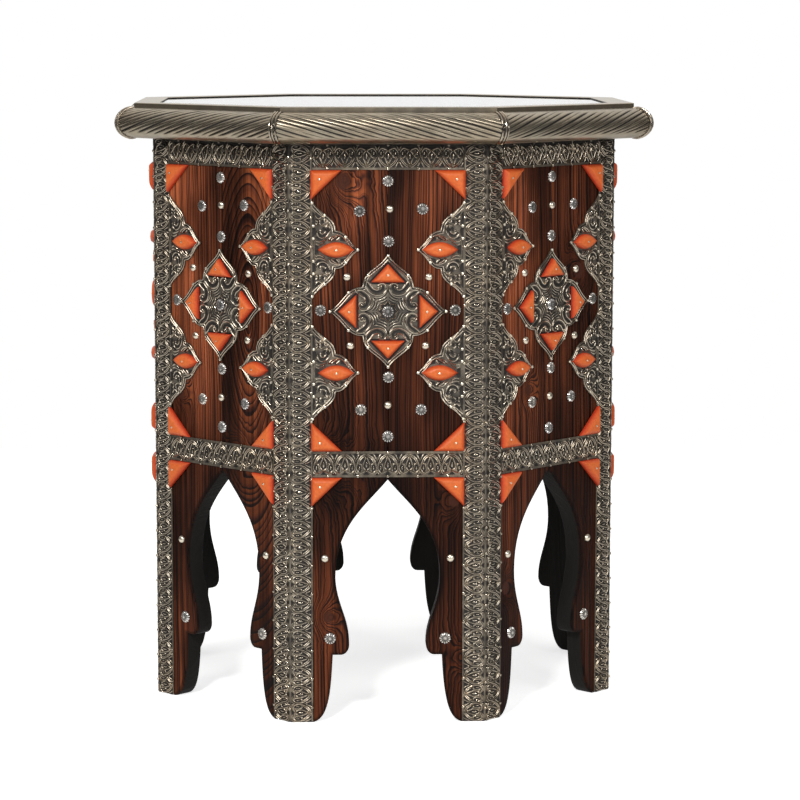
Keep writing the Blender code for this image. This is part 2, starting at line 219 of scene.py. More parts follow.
SPANDREL_HOLLOWS_MM = (
    ((15.4, 20.1), (15.5, 17.4), (14.0, 14.3), (11.3, 12.2), (8.2, 11.9), (5.8, 14.0), (5.4, 16.4), (6.8, 14.0),
     (9.2, 13.4), (11.6, 14.0), (13.2, 16.7), (13.6, 19.1)),
    ((15.4, 8.2), (17.8, 11.0), (20.6, 12.1), (18.2, 9.9)),
    ((18.6, 8.6), (20.6, 8.6), (23.2, 10.8), (23.6, 11.9)),
    ((26.0, 11.4), (28.6, 9.4), (30.6, 7.4), (25.6, 8.4)),
    ((3.4, 36.2), (9.2, 29.8), (7.6, 30.0), (5.8, 29.3), (3.4, 31.7)),
    ((4.0, 26.8), (6.4, 27.4), (5.9, 24.2), (7.6, 22.6), (5.2, 22.6)),
    ((8.6, 26.6), (10.2, 26.2), (10.8, 24.4), (8.8, 23.8)),
    ((33.6, 3.8), (36.4, 1.0), (38.0, 0.4), (36.0, 3.4)),
    ((3.2, 11.4), (5.4, 9.2), (8.2, 9.4), (5.2, 11.2)),
    ((0.7, 20.0), (3.2, 18.8), (3.0, 13.4), (0.7, 11.6)),
    ((0.7, 34.0), (1.8, 32.6), (1.8, 28.6), (2.6, 24.4), (0.7, 22.4)),
    ((2.9, 4.0), (5.6, 3.0), (5.4, 0.2), (2.9, 0.2)),
    ((9.6, 19.6), (11.2, 20.4), (11.0, 17.4), (9.6, 16.4)),
)
SPANDREL_BAR = (0.0014, 0.0080)  # upright rib behind a lozenge: its place and half its length

# Resin pieces
TRIANGLE_LEG = 0.0265
TRIANGLE_TUCK = 0.0012
LOZENGE_LENGTH = 0.0325
LOZENGE_HEIGHT = 0.0138
LOZENGE_TIP_MARGIN = 0.0045
SMALL_TRIANGLE_BASE = 0.0305
SMALL_TRIANGLE_HEIGHT = 0.0165
SMALL_TRIANGLE_MARGIN = 0.009
TRIANGLE_SHADOW_SPREAD = 1.22             # of the dark dish round a small triangle, painted shadow of the resin
RESIN_CORNER = 0.0008
RESIN_PROFILE = ((1.0, 0.0), (1.0, 0.30), (0.95, 0.46), (0.86, 0.66), (0.74, 0.84), (0.62, 0.95), (0.46, 1.0))

# Nails, placed from the middle of a panel, and on the legs from the floor
FLOWER_NAIL_RADIUS = 0.0056
FLOWER_NAIL_HEIGHT = 0.0023
FLOWER_PETALS = 13
PETAL_POINTS = 4
FLOWER_CRESTS = (0.45, 1.0, 0.9, 0.45, 0.26, 0.6)  # from the edge of a flower-headed nail to its eye
CREASE_CREST = 0.1
PETAL_GROOVE = 0.13            # depth of the creases between petals, as a share of the radius
DOME_NAIL_RADIUS = 0.0037
DOME_NAIL_HEIGHT = 0.0026
PIN_RADIUS = 0.0016
PIN_HEIGHT = 0.0013
PIN_INSET = 0.965              # of a spandrel's outline
PIN_STEPS = (0, STAR_STEPS // 2, STAR_STEPS + STAR_STEPS // 2, 2 * STAR_STEPS)
BACK_PINS_MM = ((1.2, 10.2), (1.2, 21.4))
RESIN_PIN_RADIUS = 0.0012
RESIN_PIN_HEIGHT = 0.0008
FLOWER_NAILS_MM = ((0, 117), (-25.5, 90), (31, 92), (0.5, 63), (-60.5, 1), (60.5, 1), (0.5, -59.5),
                   (-24.5, -89), (30, -89), (0, -113.5))
DOME_NAILS_MM = ((1.5, 92), (-36.7, 31), (36.7, 31), (-33.8, -31), (33.8, -31), (0, -85))
LEG_FLOWER_MM = (52.4, 78)
LEG_DOME_MM = (57, 152)
NAIL_JITTER = 0.0012
STAR_PINS_MM = ((18, 32.5), (35.5, 17))
BAND_PIN_SPACING = 0.028
BEAD_PIN_SPACING = 0.0235
EDGE_PIN_SPACING = 0.026

# Rim
CUFF_THICKNESS = 0.0012
CUFF_RIB_SPACING = 0.0027
CUFF_RIB_WIDTH = 0.0020
CUFF_GROUND = 0.0042            # half the width of the dark ground under a cuff's ribs, patina and painted shade
RIM_CREST = 0.72
GROOVE_DARKNESS = 2.0
GROOVE_PITCH = 0.0122
GROOVE_DEPTH = 0.0013
GROOVE_SHARPNESS = 4.0
STRAND_STEPS = (0.0, 0.04, 0.09, 0.17, 0.32, 0.50, 0.68, 0.83, 0.91, 0.96)
GROOVE_RUN = 0.068             # along the rim for a quarter turn of its section
GROOVE_TOP = (math.radians(58), math.radians(84))
GROOVE_FOOT = (math.radians(-43), math.radians(-34))
GROOVE_TAPER = 0.5             # of a groove's depth, lost from its foot to its top
RIM_STEPS = 36
BORDER_ROUND = 0.0006
# crest of the border's outer and inner faces at the foot, under the top and on the top: the upright faces are kept dark
# as a painted reflection of the room and painted shade at the glass, the top worn bright
BORDER_SHADED_CRESTS = (0.33, 0.42, 0.95)
BORDER_INNER_SHADED_CRESTS = (0.0, 0.10, 0.8)

# Wood
RING_WIDTH = 0.0029
HEART_HEIGHT = 0.35            # where a plank's face comes closest to its pith
KNOT_SWELL = 2.2
KNOT_STRETCH = 1.2
KNOT_RIPPLE = 1.1
SEAM_SHADE = 0.38              # burnt along the joint between planks
LEG_SHADE = 0.25
EDGE_BURN_WIDTH = 0.0045       # of the darker margin of a plank's face
EDGE_SHADE = 0.35
NO_KNOT = (1.0, 1.0, 0.01)     # off the plank
GRAIN_KEYS = ("pith", "knot_1", "knot_2", "knot_3", "tone", "rise")
WOOD_RING_COLOURS = ((0.0, (0.190, 0.050, 0.017)), (0.40, (0.150, 0.038, 0.014)), (0.68, (0.075, 0.020, 0.010)),
                     (0.84, (0.018, 0.008, 0.006)), (0.95, (0.022, 0.009, 0.007)), (1.0, (0.170, 0.044, 0.016)))
# near-black of the planks' backs and cut edges, and painted shade over the whole board
BACK_AND_SHADE_COLOUR = (0.014, 0.0125, 0.011)
HEART_COLOUR = (0.052, 0.017, 0.010)
PLANK_BUMP = 0.0003
FRONT_GRAIN = {                # grain of the planks that face the photograph, in the order of the keys
    "side_1_left_plank": ((-0.155, -0.150, 0.05), (-0.0405, 0.494, 0.0135), (-0.052, 0.236, 0.016),
                          (-0.054, 0.098, 0.009), 1.6, 0.03),
    "side_1_right_plank": ((0.34, -0.17, 0.0), (0.060, 0.205, 0.010), (0.075, 0.060, 0.012), NO_KNOT, 0.92, 0.0),
    "side_8_left_plank": ((-0.30, -0.18, 0.03), (-0.055, 0.290, 0.009), (-0.030, 0.120, 0.010), NO_KNOT, 2.2, 0.02),
    "side_8_right_plank": ((0.033, 0.006 - BODY_REACH, 0.0), (0.075, 0.300, 0.008), (0.020, 0.247, 0.009),
                           NO_KNOT, 1.55, 0.30),
    "side_2_left_plank": ((-0.24, -0.20, 0.04), (-0.030, 0.300, 0.009), (-0.060, 0.120, 0.010), NO_KNOT, 1.9, 0.05),
}

BOARD_GRAIN = ((0.03, 0.50, 0.02), (0.08, 0.05, 0.02), (-0.09, -0.10, 0.016), NO_KNOT, 0.6, 0.0)

# Studio
FLOOR_REACH = 1.5
FLOOR_LIFT = 0.72
FLOOR_SHINES = (0.45, 0.7)     # shares of that lift that metal sees before the table and beside it
FLOOR_FADE = (0.40, 0.95)       # from the axis, where metal stops seeing the floor as white
FILL_LIGHT = 0.38
FRONT_LIGHT = 0.22             # of the photographer's side of the room, as metal sees it
FRONT_GLOW = 0.32              # of its pale lower wall
SIDE_SHADES = (0.88, 0.78)       # of the left and the right side of the room
CEILING_LIGHTS = (0.23, 0.9)     # over the table's front and behind it

# Camera
CAMERA_PLACE = (-0.0715, -2.822, 0.6385)
CAMERA_PITCH = math.radians(7.46)
CAMERA_TURN = math.radians(-1.8)
CAMERA_ROLL = math.radians(-0.08)
LENS = 131.4
SENSOR = 36.0

rng = np.random.default_rng(SEED)


# Shapes

class Shape:
    """Points, faces and crest values of one piece. Crest is 0 in a recess or in painted shade and 1 where metal is worn
    bright.
    """

    def __init__(self):
        self.blocks = []
        self.crests = []
        self.faces = []
        self.count = 0

    def add(self, points, faces, crest=1.0):
        points = np.asarray(points, float).reshape(-1, 3)
        self.blocks.append(points)
        self.crests.append(np.zeros(len(points)) + crest)
        self.faces += [[self.count + index for index in face] for face in faces]
        self.count += len(points)

    def include(self, other, move, flip=False):
        """Add a copy of another shape, its points moved by a function. A mirroring move flips its faces."""
        faces = [face[::-1] for face in other.faces] if flip else other.faces
        self.add(move(np.vstack(other.blocks)), faces, np.concatenate(other.crests))

    def mesh(self, name, material, sharp=40):
        across, up, out = np.vstack(self.blocks).T
        mesh = bpy.data.meshes.new(name)
        mesh.from_pydata(np.stack([across, -out, up], 1), [], self.faces)
        mesh.attributes.new("crest", "FLOAT", "POINT").data.foreach_set("value", np.concatenate(self.crests))
        mesh.materials.append(material)
        mesh.shade_smooth()
        mesh.set_sharp_from_angle(angle=math.radians(sharp))
        return mesh


def place(name, mesh, turn=0, replaces=()):
    """Put a mesh on a side of the table, riding on its one body."""
    piece = bpy.data.objects.new(name, mesh)
    bpy.context.scene.collection.objects.link(piece)
    piece.rotation_euler.z = turn * EIGHTH
    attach(piece, "root")
    if replaces:
        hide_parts(*replaces)
    return piece


def turned(points, index):
    """Points carried about the table's axis to another side."""
    angle = index * EIGHTH
    across, up, out = np.asarray(points).T
    return np.stack([across * math.cos(angle) + out * math.sin(angle), up,
                     out * math.cos(angle) - across * math.sin(angle)], 1)


def mirrored(points):
    return np.asarray(points) * (-1, 1, 1)


# Curves

def bezier(start, first, second, end, steps):
    """Points of a cubic curve, without its start."""
    t = np.arange(1, steps + 1)[:, None] / steps
    return ((1 - t) ** 3 * np.asarray(start) + 3 * t * (1 - t) ** 2 * np.asarray(first)
            + 3 * t * t * (1 - t) * np.asarray(second) + t ** 3 * np.asarray(end))


def spline(points, steps=4):
    """Smooth open curve through points."""
    points = np.asarray(points, float)
    padded = np.vstack([2 * points[0] - points[1], points, 2 * points[-1] - points[-2]])
    curve = [points[:1]]
    for before, start, end, after in zip(padded, padded[1:], padded[2:], padded[3:]):
        curve.append(bezier(start, start + (end - before) / 6, end - (after - start) / 6, end, steps))
    return np.vstack(curve)


def inset(loop, distance):
    """Closed loop, anticlockwise, moved inward."""
    ahead = np.roll(loop, -1, 0) - loop
    ahead /= np.linalg.norm(ahead, axis=1, keepdims=True)
    behind = np.roll(ahead, 1, 0)
    inward = np.stack([-ahead[:, 1] - behind[:, 1], ahead[:, 0] + behind[:, 0]], 1)
    inward /= np.maximum(np.linalg.norm(inward, axis=1, keepdims=True), 1e-9)
    across = np.stack([-ahead[:, 1], ahead[:, 0]], 1)
    lean = np.maximum((inward * across).sum(1, keepdims=True), 0.45)
    return loop + inward * distance / lean


def quarter_star(half_width, half_height, notch, steps):
    """Quarter of a four-petalled star, from its top tip through the notch to its right tip."""
    across, up = notch[0] * half_width, notch[1] * half_height
    high = up + PETAL_STRETCH * (half_height - up)
    wide = across + PETAL_STRETCH * (half_width - across)
    top, middle, right = (0.0, half_height), (across, up), (half_width, 0.0)
    upper = bezier(top, (PETAL_WAIST * across, high), (PETAL_SWELL * across, high), middle, steps)
    lower = bezier(middle, (wide, PETAL_SWELL * up), (wide, PETAL_WAIST * up), right, steps)
    return np.vstack([[top], upper, lower])


def half_star(half_width, half_height, notch, steps):
    """Right half of the star, from its top tip to its bottom tip."""
    quarter = quarter_star(half_width, half_height, notch, steps)
    return np.vstack([quarter, quarter[-2::-1] * (1, -1)])


def rounded(corners, radius, steps=3):
    """Closed outline with its corners rounded off."""
    corners = np.asarray(corners, float)
    points = []
    for before, here, after in zip(np.roll(corners, 1, 0), corners, np.roll(corners, -1, 0)):
        back = (before - here) / np.linalg.norm(before - here)
        on = (after - here) / np.linalg.norm(after - here)
        start, end = here + back * radius, here + on * radius
        points += [start, *bezier(start, here - (here - start) / 3, here - (here - end) / 3, end, steps)]
    return np.array(points)


def anticlockwise(loop):
    across, up = np.asarray(loop).T
    area = np.sum(across * np.roll(up, -1) - up * np.roll(across, -1))
    return np.asarray(loop) if area > 0 else np.asarray(loop)[::-1]


# Solids made of loops, ribs and domes

def stack(shape, loops, crest=1.0):
    """Closed solid through anticlockwise loops of equal length, from the back outward."""
    size = len(loops[0])
    faces = [list(range(size))[::-1]]
    for level in range(len(loops) - 1):
        for here in range(size):
            after = (here + 1) % size
            low, high = level * size, (level + 1) * size
            faces.append([low + here, low + after, high + after, high + here])
    faces.append([(len(loops) - 1) * size + here for here in range(size)])
    shape.add(np.vstack(loops), faces, np.repeat(crest, size) if np.ndim(crest) else crest)


def at(loop, out):
    """Flat (across, up) points at a distance from the table's axis."""
    loop = np.asarray(loop)
    return np.column_stack([loop, np.full(len(loop), out)])


def plate(shape, outline, crest=SHEET_CREST):
    outline = anticlockwise(outline)
    stack(shape, [at(outline, SHEET_BACK), at(outline, SHEET_FRONT)], crest=crest)


def hollow(shape, outline):
    """Dished patch between ribs, dark in its floor: patina and painted shade of a deeper hollow."""
    outline = anticlockwise(outline)
    size = len(outline)
    edge = at(inset(outline, -DISH_SPREAD), SHEET_FRONT + DISH_RISE)
    floor = at(inset(outline, DISH_SPREAD), SHEET_FRONT + HOLLOW_LIFT)
    faces = [[here, (here + 1) % size, size + (here + 1) % size, size + here] for here in range(size)]
    faces.append(range(size, 2 * size))
    shape.add(np.vstack([edge, floor]), faces, np.repeat([DISH_CREST, 0.0], size))


def dark_band(shape, outer, inner, closed=False):
    """Dark strip over the sheet between two paths with equal numbers of points, the outer one anticlockwise: patina and
    painted shade of a sunk channel.
    """
    size = len(outer)
    points = at(np.vstack([outer, inner]), SHEET_FRONT + HOLLOW_LIFT)
    steps = range(size if closed else size - 1)
    faces = [[here, (here + 1) % size, size + (here + 1) % size, size + here] for here in steps]
    shape.add(points, faces, 0.0)


def rib(shape, path, width=RIB_WIDTH, height=RIB_HEIGHT, closed=False, out=(0, 0, 1), bright=1.0):
    """Half-round rib along a path, on the sheet if the path is flat."""
    path = np.asarray(path, float)
    if path.shape[1] == 2:
        path = at(path, SHEET_FRONT)
    out = np.broadcast_to(np.asarray(out, float), path.shape)
    ahead = np.roll(path, -1, 0) - np.roll(path, 1, 0) if closed else np.gradient(path, axis=0)
    ahead /= np.linalg.norm(ahead, axis=1, keepdims=True)
    beside = np.cross(out, ahead)
    swell = np.ones(len(path))
    if not closed:
        swell[[0, -1]] = RIB_END
    angles = np.linspace(0, math.pi, RIB_POINTS)
    aside = np.cos(angles) * width / 2
    lift = np.sin(angles) * height
    points = path[:, None] + beside[:, None] * (aside * swell[:, None])[..., None]
    points = points + out[:, None] * (lift * swell[:, None] - RIB_SINK)[..., None]
    faces = []
    for here in range(len(path) if closed else len(path) - 1):
        after = (here + 1) % len(path)
        for corner in range(RIB_POINTS):
            beyond = (corner + 1) % RIB_POINTS
            faces.append([here * RIB_POINTS + corner, here * RIB_POINTS + beyond,
                          after * RIB_POINTS + beyond, after * RIB_POINTS + corner])
    if not closed:
        faces.append(list(range(RIB_POINTS))[::-1])
        faces.append([(len(path) - 1) * RIB_POINTS + corner for corner in range(RIB_POINTS)])
    wear = RIB_FOOT_CREST + (bright - RIB_FOOT_CREST) * np.sin(angles) ** 0.6
    shape.add(points, faces, np.tile(wear, len(path)))


def dome(shape, centre, radii, height, out=(0, 0, 1), turn=0.0, spokes=10, rings=3, petals=0):
    """Rounded head on a surface, creased into petals if asked."""
    out = np.asarray(out, float)
    beside = np.cross((0, 1, 0), out)
    if petals:
        spokes = petals * PETAL_POINTS
    angles = np.arange(spokes) * math.tau / spokes
    crease = (np.arange(spokes) % PETAL_POINTS == 0) * PETAL_GROOVE if petals else np.zeros(spokes)
    flat = np.stack([radii[0] * np.cos(angles), radii[1] * np.sin(angles)], 1)
    flat = flat @ np.array([[math.cos(turn), math.sin(turn)], [-math.sin(turn), math.cos(turn)]])
    loops = []
    crests = []
    for level in range(rings + 1):
        rise = level / (rings + 0.4) * math.pi / 2
        depth = crease * (level < rings)
        ring = flat * (math.cos(rise) * (1 - depth))[:, None]
        lift = height * math.sin(rise) * (1 - 2 * depth) - RIB_SINK * (level == 0)
        loops.append(np.asarray(centre) + ring[:, :1] * beside + ring[:, 1:] * (0, 1, 0) + np.outer(lift, out))
        worn = FLOWER_CRESTS[level] if petals else (0.4 if level == 0 else 1.0)
        crests.append(np.where(depth > 0, CREASE_CREST, worn))
    stack(shape, loops)
    shape.crests[-1] = np.concatenate(crests)


def pillow(shape, outline, centre, base=SHEET_FRONT - RIB_SINK):
    """Resin piece: an upright edge, then rounded shoulders up to its top."""
    outline, centre = anticlockwise(outline), np.asarray(centre)
    height = RESIN_FRONT - base
    loops = [at(centre + (outline - centre) * share, base + lift * height) for share, lift in RESIN_PROFILE]
    stack(shape, loops, crest=[lift for share, lift in RESIN_PROFILE])


def in_centre(triangle):
    """Centre of the circle inside a triangle."""
    triangle = np.asarray(triangle)
    sides = np.linalg.norm(np.roll(triangle, -1, 0) - np.roll(triangle, 1, 0), axis=1)
    return (triangle * sides[:, None]).sum(0) / sides.sum()


# Material nodes

def node(tree, kind, inputs=None, output=0, **settings):
    """New shader node, with plain values or other nodes' outputs as its inputs. Returns one of its outputs."""
    made = tree.nodes.new(kind)
    for key, value in settings.items():
        setattr(made, key, value)
    for key, value in (inputs or {}).items():
        if isinstance(value, bpy.types.NodeSocket):
            tree.links.new(value, made.inputs[key])
        else:
            made.inputs[key].default_value = value
    return made.outputs[output]


def calc(tree, operation, *values):
    return node(tree, "ShaderNodeMath", dict(enumerate(values)), operation=operation)


def blend(tree, factor, first, second, kind="MIX"):
    return node(tree, "ShaderNodeMix", {0: factor, 6: first, 7: second}, output=2,
                data_type="RGBA", blend_type=kind)


def between(tree, value, low, high, start=0.0, end=1.0):
    """Value carried smoothly from one range to another."""
    return node(tree, "ShaderNodeMapRange", {0: value, 1: low, 2: high, 3: start, 4: end},
                interpolation_type="SMOOTHSTEP")


def scaled(tree, vector, scale):
    return node(tree, "ShaderNodeVectorMath", {0: vector, 1: scale}, operation="MULTIPLY")


def noise(tree, vector, scale, detail=3.0, roughness=0.55):
    return node(tree, "ShaderNodeTexNoise",
                {"Vector": vector, "Scale": scale, "Detail": detail, "Roughness": roughness})


def ramp(tree, factor, stops):
    """Colours along a factor, as (position, colour) stops."""
    made = tree.nodes.new("ShaderNodeValToRGB")
    tree.links.new(factor, made.inputs[0])
    elements = made.color_ramp.elements
    while len(elements) < len(stops):
        elements.new(0.5)
    for element, (position, colour) in zip(elements, stops):
        element.position = position
        element.color = (*colour, 1.0)
    return made.outputs[0]


def new_material(name):
    material = bpy.data.materials.new(name)
    material.use_nodes = True
    tree = material.node_tree
    return material, tree, tree.nodes["Principled BSDF"]


def connect(tree, shader, **sockets):
    for key, value in sockets.items():
        tree.links.new(value, shader.inputs[key.replace("_", " ")])


def coordinates(tree):
    return node(tree, "ShaderNodeTexCoord", output=3)


def bump(tree, height, distance, strength=1.0):
    return node(tree, "ShaderNodeBump", {"Height": height, "Distance": distance, "Strength": strength})


# Finishes

def chased_metal(name, bright, warm, dark, low_roughness, tarnished=0.38, hammered=0.00012):
    """Nickel silver: worn bright on the crests, dark where the crest is low, as patina in the recesses and as painted
    shade, with tarnish in patches.
    """
    material, tree, shader = new_material(name)
    where = coordinates(tree)
    crest = node(tree, "ShaderNodeAttribute", output=2, attribute_name="crest")
    mottle = noise(tree, where, 90.0, 4.0)
    tint = blend(tree, between(tree, noise(tree, where, 14.0), 0.35, 0.65), (*bright, 1), (*warm, 1))
    tarnish = between(tree, mottle, 0.30, 0.72, 1.0 - tarnished, 1.0)
    shine = blend(tree, 1.0, tint, tarnish, "MULTIPLY")
    patch = calc(tree, "MULTIPLY", calc(tree, "SUBTRACT", mottle, 0.5), 1.3 * tarnished)
    wear = between(tree, calc(tree, "ADD", crest, patch), 0.12, 0.80)
    connect(tree, shader, Base_Color=blend(tree, wear, (*dark, 1), shine),
            Metallic=between(tree, wear, 0.0, 0.5, 0.25, 1.0),
            Roughness=between(tree, calc(tree, "SUBTRACT", wear, calc(tree, "MULTIPLY", mottle, 0.25)),
                              0.0, 0.9, 0.62, low_roughness),
            Normal=bump(tree, noise(tree, where, 700.0, 2.0), hammered))
    return material


def orange_resin():
    """Dyed resin, paler on top and deep red at its edges."""
    material, tree, shader = new_material("orange_resin")
    where = coordinates(tree)
    crest = node(tree, "ShaderNodeAttribute", output=2, attribute_name="crest")
    cloud = noise(tree, where, 60.0, 3.0)
    height = calc(tree, "ADD", crest, calc(tree, "MULTIPLY", calc(tree, "SUBTRACT", cloud, 0.5), 0.25))
    colour = ramp(tree, height, ((0.25, (0.45, 0.034, 0.010)), (0.60, (0.54, 0.072, 0.015)),
                                 (0.88, (0.585, 0.103, 0.020)), (1.0, (0.595, 0.124, 0.025))))
    speck = between(tree, noise(tree, where, 420.0, 2.0), 0.35, 0.65, 0.92, 1.05)
    shader.inputs["Specular IOR Level"].default_value = 0.3
    connect(tree, shader, Base_Color=blend(tree, 1.0, colour, speck, "MULTIPLY"),
            Roughness=between(tree, cloud, 0.3, 0.7, 0.38, 0.52),
            Normal=bump(tree, noise(tree, where, 240.0, 3.0), 0.0001))
    return material


def burnt_pine(name, along_x=False):
    """Pine burnt and brushed: rings about a leaning pith, bent round knots, near-black backs and cut edges, and burnt
    margins. The board, along X, is near-black all over as painted shade.
    """
    material, tree, shader = new_material(name)
    where = coordinates(tree)
    x, y, z = (node(tree, "ShaderNodeSeparateXYZ", {0: where}, output=axis) for axis in range(3))
    if along_x:
        x, y, z = y, z, x
    pith, *knots = (node(tree, "ShaderNodeAttribute", output=1, attribute_name=key, attribute_type="OBJECT")
                    for key in GRAIN_KEYS[:4])
    plain = node(tree, "ShaderNodeCombineXYZ", {0: x, 1: y, 2: z})
    shifted = node(tree, "ShaderNodeVectorMath", {0: plain, 1: scaled(tree, pith, (31.0, 17.0, 23.0))})
    tone, rise = (node(tree, "ShaderNodeAttribute", output=2, attribute_name=key, attribute_type="OBJECT")
                  for key in GRAIN_KEYS[4:])
    radius = pith_distance(tree, (x, y, z), pith, rise, shifted)
    radius, heart = round_knots(tree, radius, x, z, knots, shifted)

    uneven = noise(tree, node(tree, "ShaderNodeCombineXYZ", {0: radius}), 110.0, 3.0)
    rings = calc(tree, "ADD", calc(tree, "DIVIDE", radius, RING_WIDTH), calc(tree, "MULTIPLY", uneven, 5.0))
    ring = calc(tree, "FRACT", rings)
    fibre = noise(tree, scaled(tree, shifted, (1300.0, 1300.0, 14.0)), 1.0, 3.0, 0.6)
    streak = noise(tree, scaled(tree, shifted, (260.0, 260.0, 4.0)), 1.0, 4.0)
    burn = noise(tree, scaled(tree, shifted, (15.0, 15.0, 5.0)), 1.0, 3.0)
    colour = ramp(tree, ring, WOOD_RING_COLOURS)
    shade = calc(tree, "MULTIPLY", between(tree, burn, 0.36, 0.66, 0.22, 1.35),
                 between(tree, streak, 0.30, 0.70, 0.50, 1.55))
    shade = calc(tree, "MULTIPLY", calc(tree, "MULTIPLY", shade, tone), between(tree, fibre, 0.3, 0.7, 0.70, 1.25))
    shade = calc(tree, "MULTIPLY", shade, between(tree, calc(tree, "ABSOLUTE", x), 0.006, 0.040, SEAM_SHADE, 1.0))
    shade = calc(tree, "MULTIPLY", shade, between(tree, z, 0.20, 0.38, LEG_SHADE, 1.0))
    if not along_x:
        crest = node(tree, "ShaderNodeAttribute", output=2, attribute_name="crest")
        uneven_edge = calc(tree, "ADD", crest, calc(tree, "MULTIPLY", calc(tree, "SUBTRACT", burn, 0.5), 0.8))
        shade = calc(tree, "MULTIPLY", shade, between(tree, uneven_edge, 0.0, 0.9, EDGE_SHADE, 1.0))
    lit = blend(tree, 1.0, colour, shade, "MULTIPLY")
    lit = blend(tree, calc(tree, "MULTIPLY", heart, 0.85), lit, (*HEART_COLOUR, 1))
    # painted shade: the board is near-black all over, like the shadow under the rim; a plank only behind its face
    depth = 1.0 if along_x else between(tree, y, -BODY_REACH + 0.0004, -BODY_REACH + 0.0030)
    shader.inputs["Specular IOR Level"].default_value = 0.08
    connect(tree, shader, Base_Color=blend(tree, depth, lit, (*BACK_AND_SHADE_COLOUR, 1)),
            Roughness=between(tree, calc(tree, "ADD", ring, fibre), 0.4, 1.5, 0.62, 0.46))
    if not along_x:
        raised = calc(tree, "SUBTRACT", fibre, calc(tree, "MULTIPLY", ring, 0.6))
        connect(tree, shader, Normal=bump(tree, raised, PLANK_BUMP))
    return material


def pith_distance(tree, place_at, pith, rise, shifted):
    """Distance from a plank's pith, which leans, rises through the plank and wavers along the grain."""
    x, y, z = place_at
    pith_x, pith_y, lean = (node(tree, "ShaderNodeSeparateXYZ", {0: pith}, output=axis) for axis in range(3))
    wobble = noise(tree, scaled(tree, shifted, (9.0, 9.0, 2.2)), 1.0, 4.0)
    sway = calc(tree, "MULTIPLY", calc(tree, "SUBTRACT", wobble, 0.5), 0.022)
    aside = calc(tree, "ADD", calc(tree, "SUBTRACT", x, pith_x), calc(tree, "MULTIPLY", z, lean))
    aside = calc(tree, "ADD", aside, sway)
    behind = calc(tree, "ADD", calc(tree, "SUBTRACT", y, pith_y),
                  calc(tree, "MULTIPLY", calc(tree, "SUBTRACT", z, HEART_HEIGHT), rise))
    squares = calc(tree, "ADD", calc(tree, "MULTIPLY", aside, aside), calc(tree, "MULTIPLY", behind, behind))
    return calc(tree, "SQRT", squares)


def round_knots(tree, radius, x, z, knots, shifted):
    """Ring distance swollen and rippled round each knot, and how much of a knot's heart a point is."""
    hearts = 0.0
    curl = calc(tree, "SUBTRACT", noise(tree, scaled(tree, shifted, (85.0, 85.0, 50.0)), 1.0, 2.0), 0.5)
    for knot in knots:
        knot_x, knot_z, size = (node(tree, "ShaderNodeSeparateXYZ", {0: knot}, output=axis) for axis in range(3))
        aside = calc(tree, "DIVIDE", calc(tree, "SUBTRACT", x, knot_x), size)
        above = calc(tree, "DIVIDE", calc(tree, "SUBTRACT", z, knot_z), calc(tree, "MULTIPLY", size, KNOT_STRETCH))
        spread = calc(tree, "ADD", calc(tree, "MULTIPLY", aside, aside), calc(tree, "MULTIPLY", above, above))
        swell = calc(tree, "EXPONENT", calc(tree, "MULTIPLY", spread, -0.8))
        ripple = calc(tree, "MULTIPLY", curl, calc(tree, "EXPONENT", calc(tree, "MULTIPLY", spread, -0.12)))
        lift = calc(tree, "ADD", calc(tree, "MULTIPLY", swell, KNOT_SWELL), calc(tree, "MULTIPLY", ripple, KNOT_RIPPLE))
        radius = calc(tree, "ADD", radius, calc(tree, "MULTIPLY", lift, size))
        hearts = calc(tree, "MAXIMUM", hearts, between(tree, spread, 0.16, 0.32, 1.0, 0.0))
    return radius, hearts


def clear_glass():
    """Clear pane with faint wiping marks."""
    material, tree, shader = new_material("clear_glass")
    smear = noise(tree, scaled(tree, coordinates(tree), (9.0, 40.0, 9.0)), 1.0, 3.0)
    shader.inputs["Transmission Weight"].default_value = 1.0
    shader.inputs["IOR"].default_value = 1.5
    shader.inputs["Roughness"].default_value = 0.0
    connect(tree, shader, Base_Color=blend(tree, smear, (0.93, 0.98, 0.96, 1), (0.97, 1.0, 0.99, 1)))
    return material


# Pieces

def leg_edge():
    """Inner edge of a right-hand leg, from the floor up to the point of the arch."""
    foot = STRIP_EDGE - FOOT_MARGIN
    foot_top = HALF_SIDE - FOOT_TOP_WIDTH
    toe = HALF_SIDE - TOE_WIDTH
    waist = HALF_SIDE - LEG_WIDTH
    apex = WAIST_LOW - ARCH_CROWN
    toe_tip = FOOT_HEIGHT + TOE_RISE
    spread = foot - foot_top
    flank = ARCH_WAIST_HEIGHT - toe_tip
    rise = apex - ARCH_WAIST_HEIGHT
    start = np.array([[foot, 0.0]])
    flare = [(foot_top + across * spread, up * FOOT_HEIGHT) for across, up in FOOT_HANDLES]
    shin = bezier(start[0], *flare, (foot_top, FOOT_HEIGHT), LEG_STEPS)
    bend = np.arange(LEG_STEPS // 2 + 1) / (LEG_STEPS // 2) * math.pi / 2
    toes = np.stack([toe + TOE_ROUND * (1 - np.sin(bend)), toe_tip - TOE_RISE * np.cos(bend)], 1)
    widest = (waist, ARCH_WAIST_HEIGHT)
    ankle = bezier(toes[-1], (toe, toe_tip + FLANK_HANDLES[0] * flank),
                   (waist, ARCH_WAIST_HEIGHT - FLANK_HANDLES[1] * flank), widest, LEG_STEPS)
    keel = (KEEL_HANDLE[0] * waist, apex - KEEL_HANDLE[1] * rise)
    arch = bezier(widest, (waist, ARCH_WAIST_HEIGHT + SHOULDER_HANDLE * rise), keel, (JOINT_GAP, apex), LEG_STEPS)
    return np.vstack([start, shin, toes, ankle, arch])


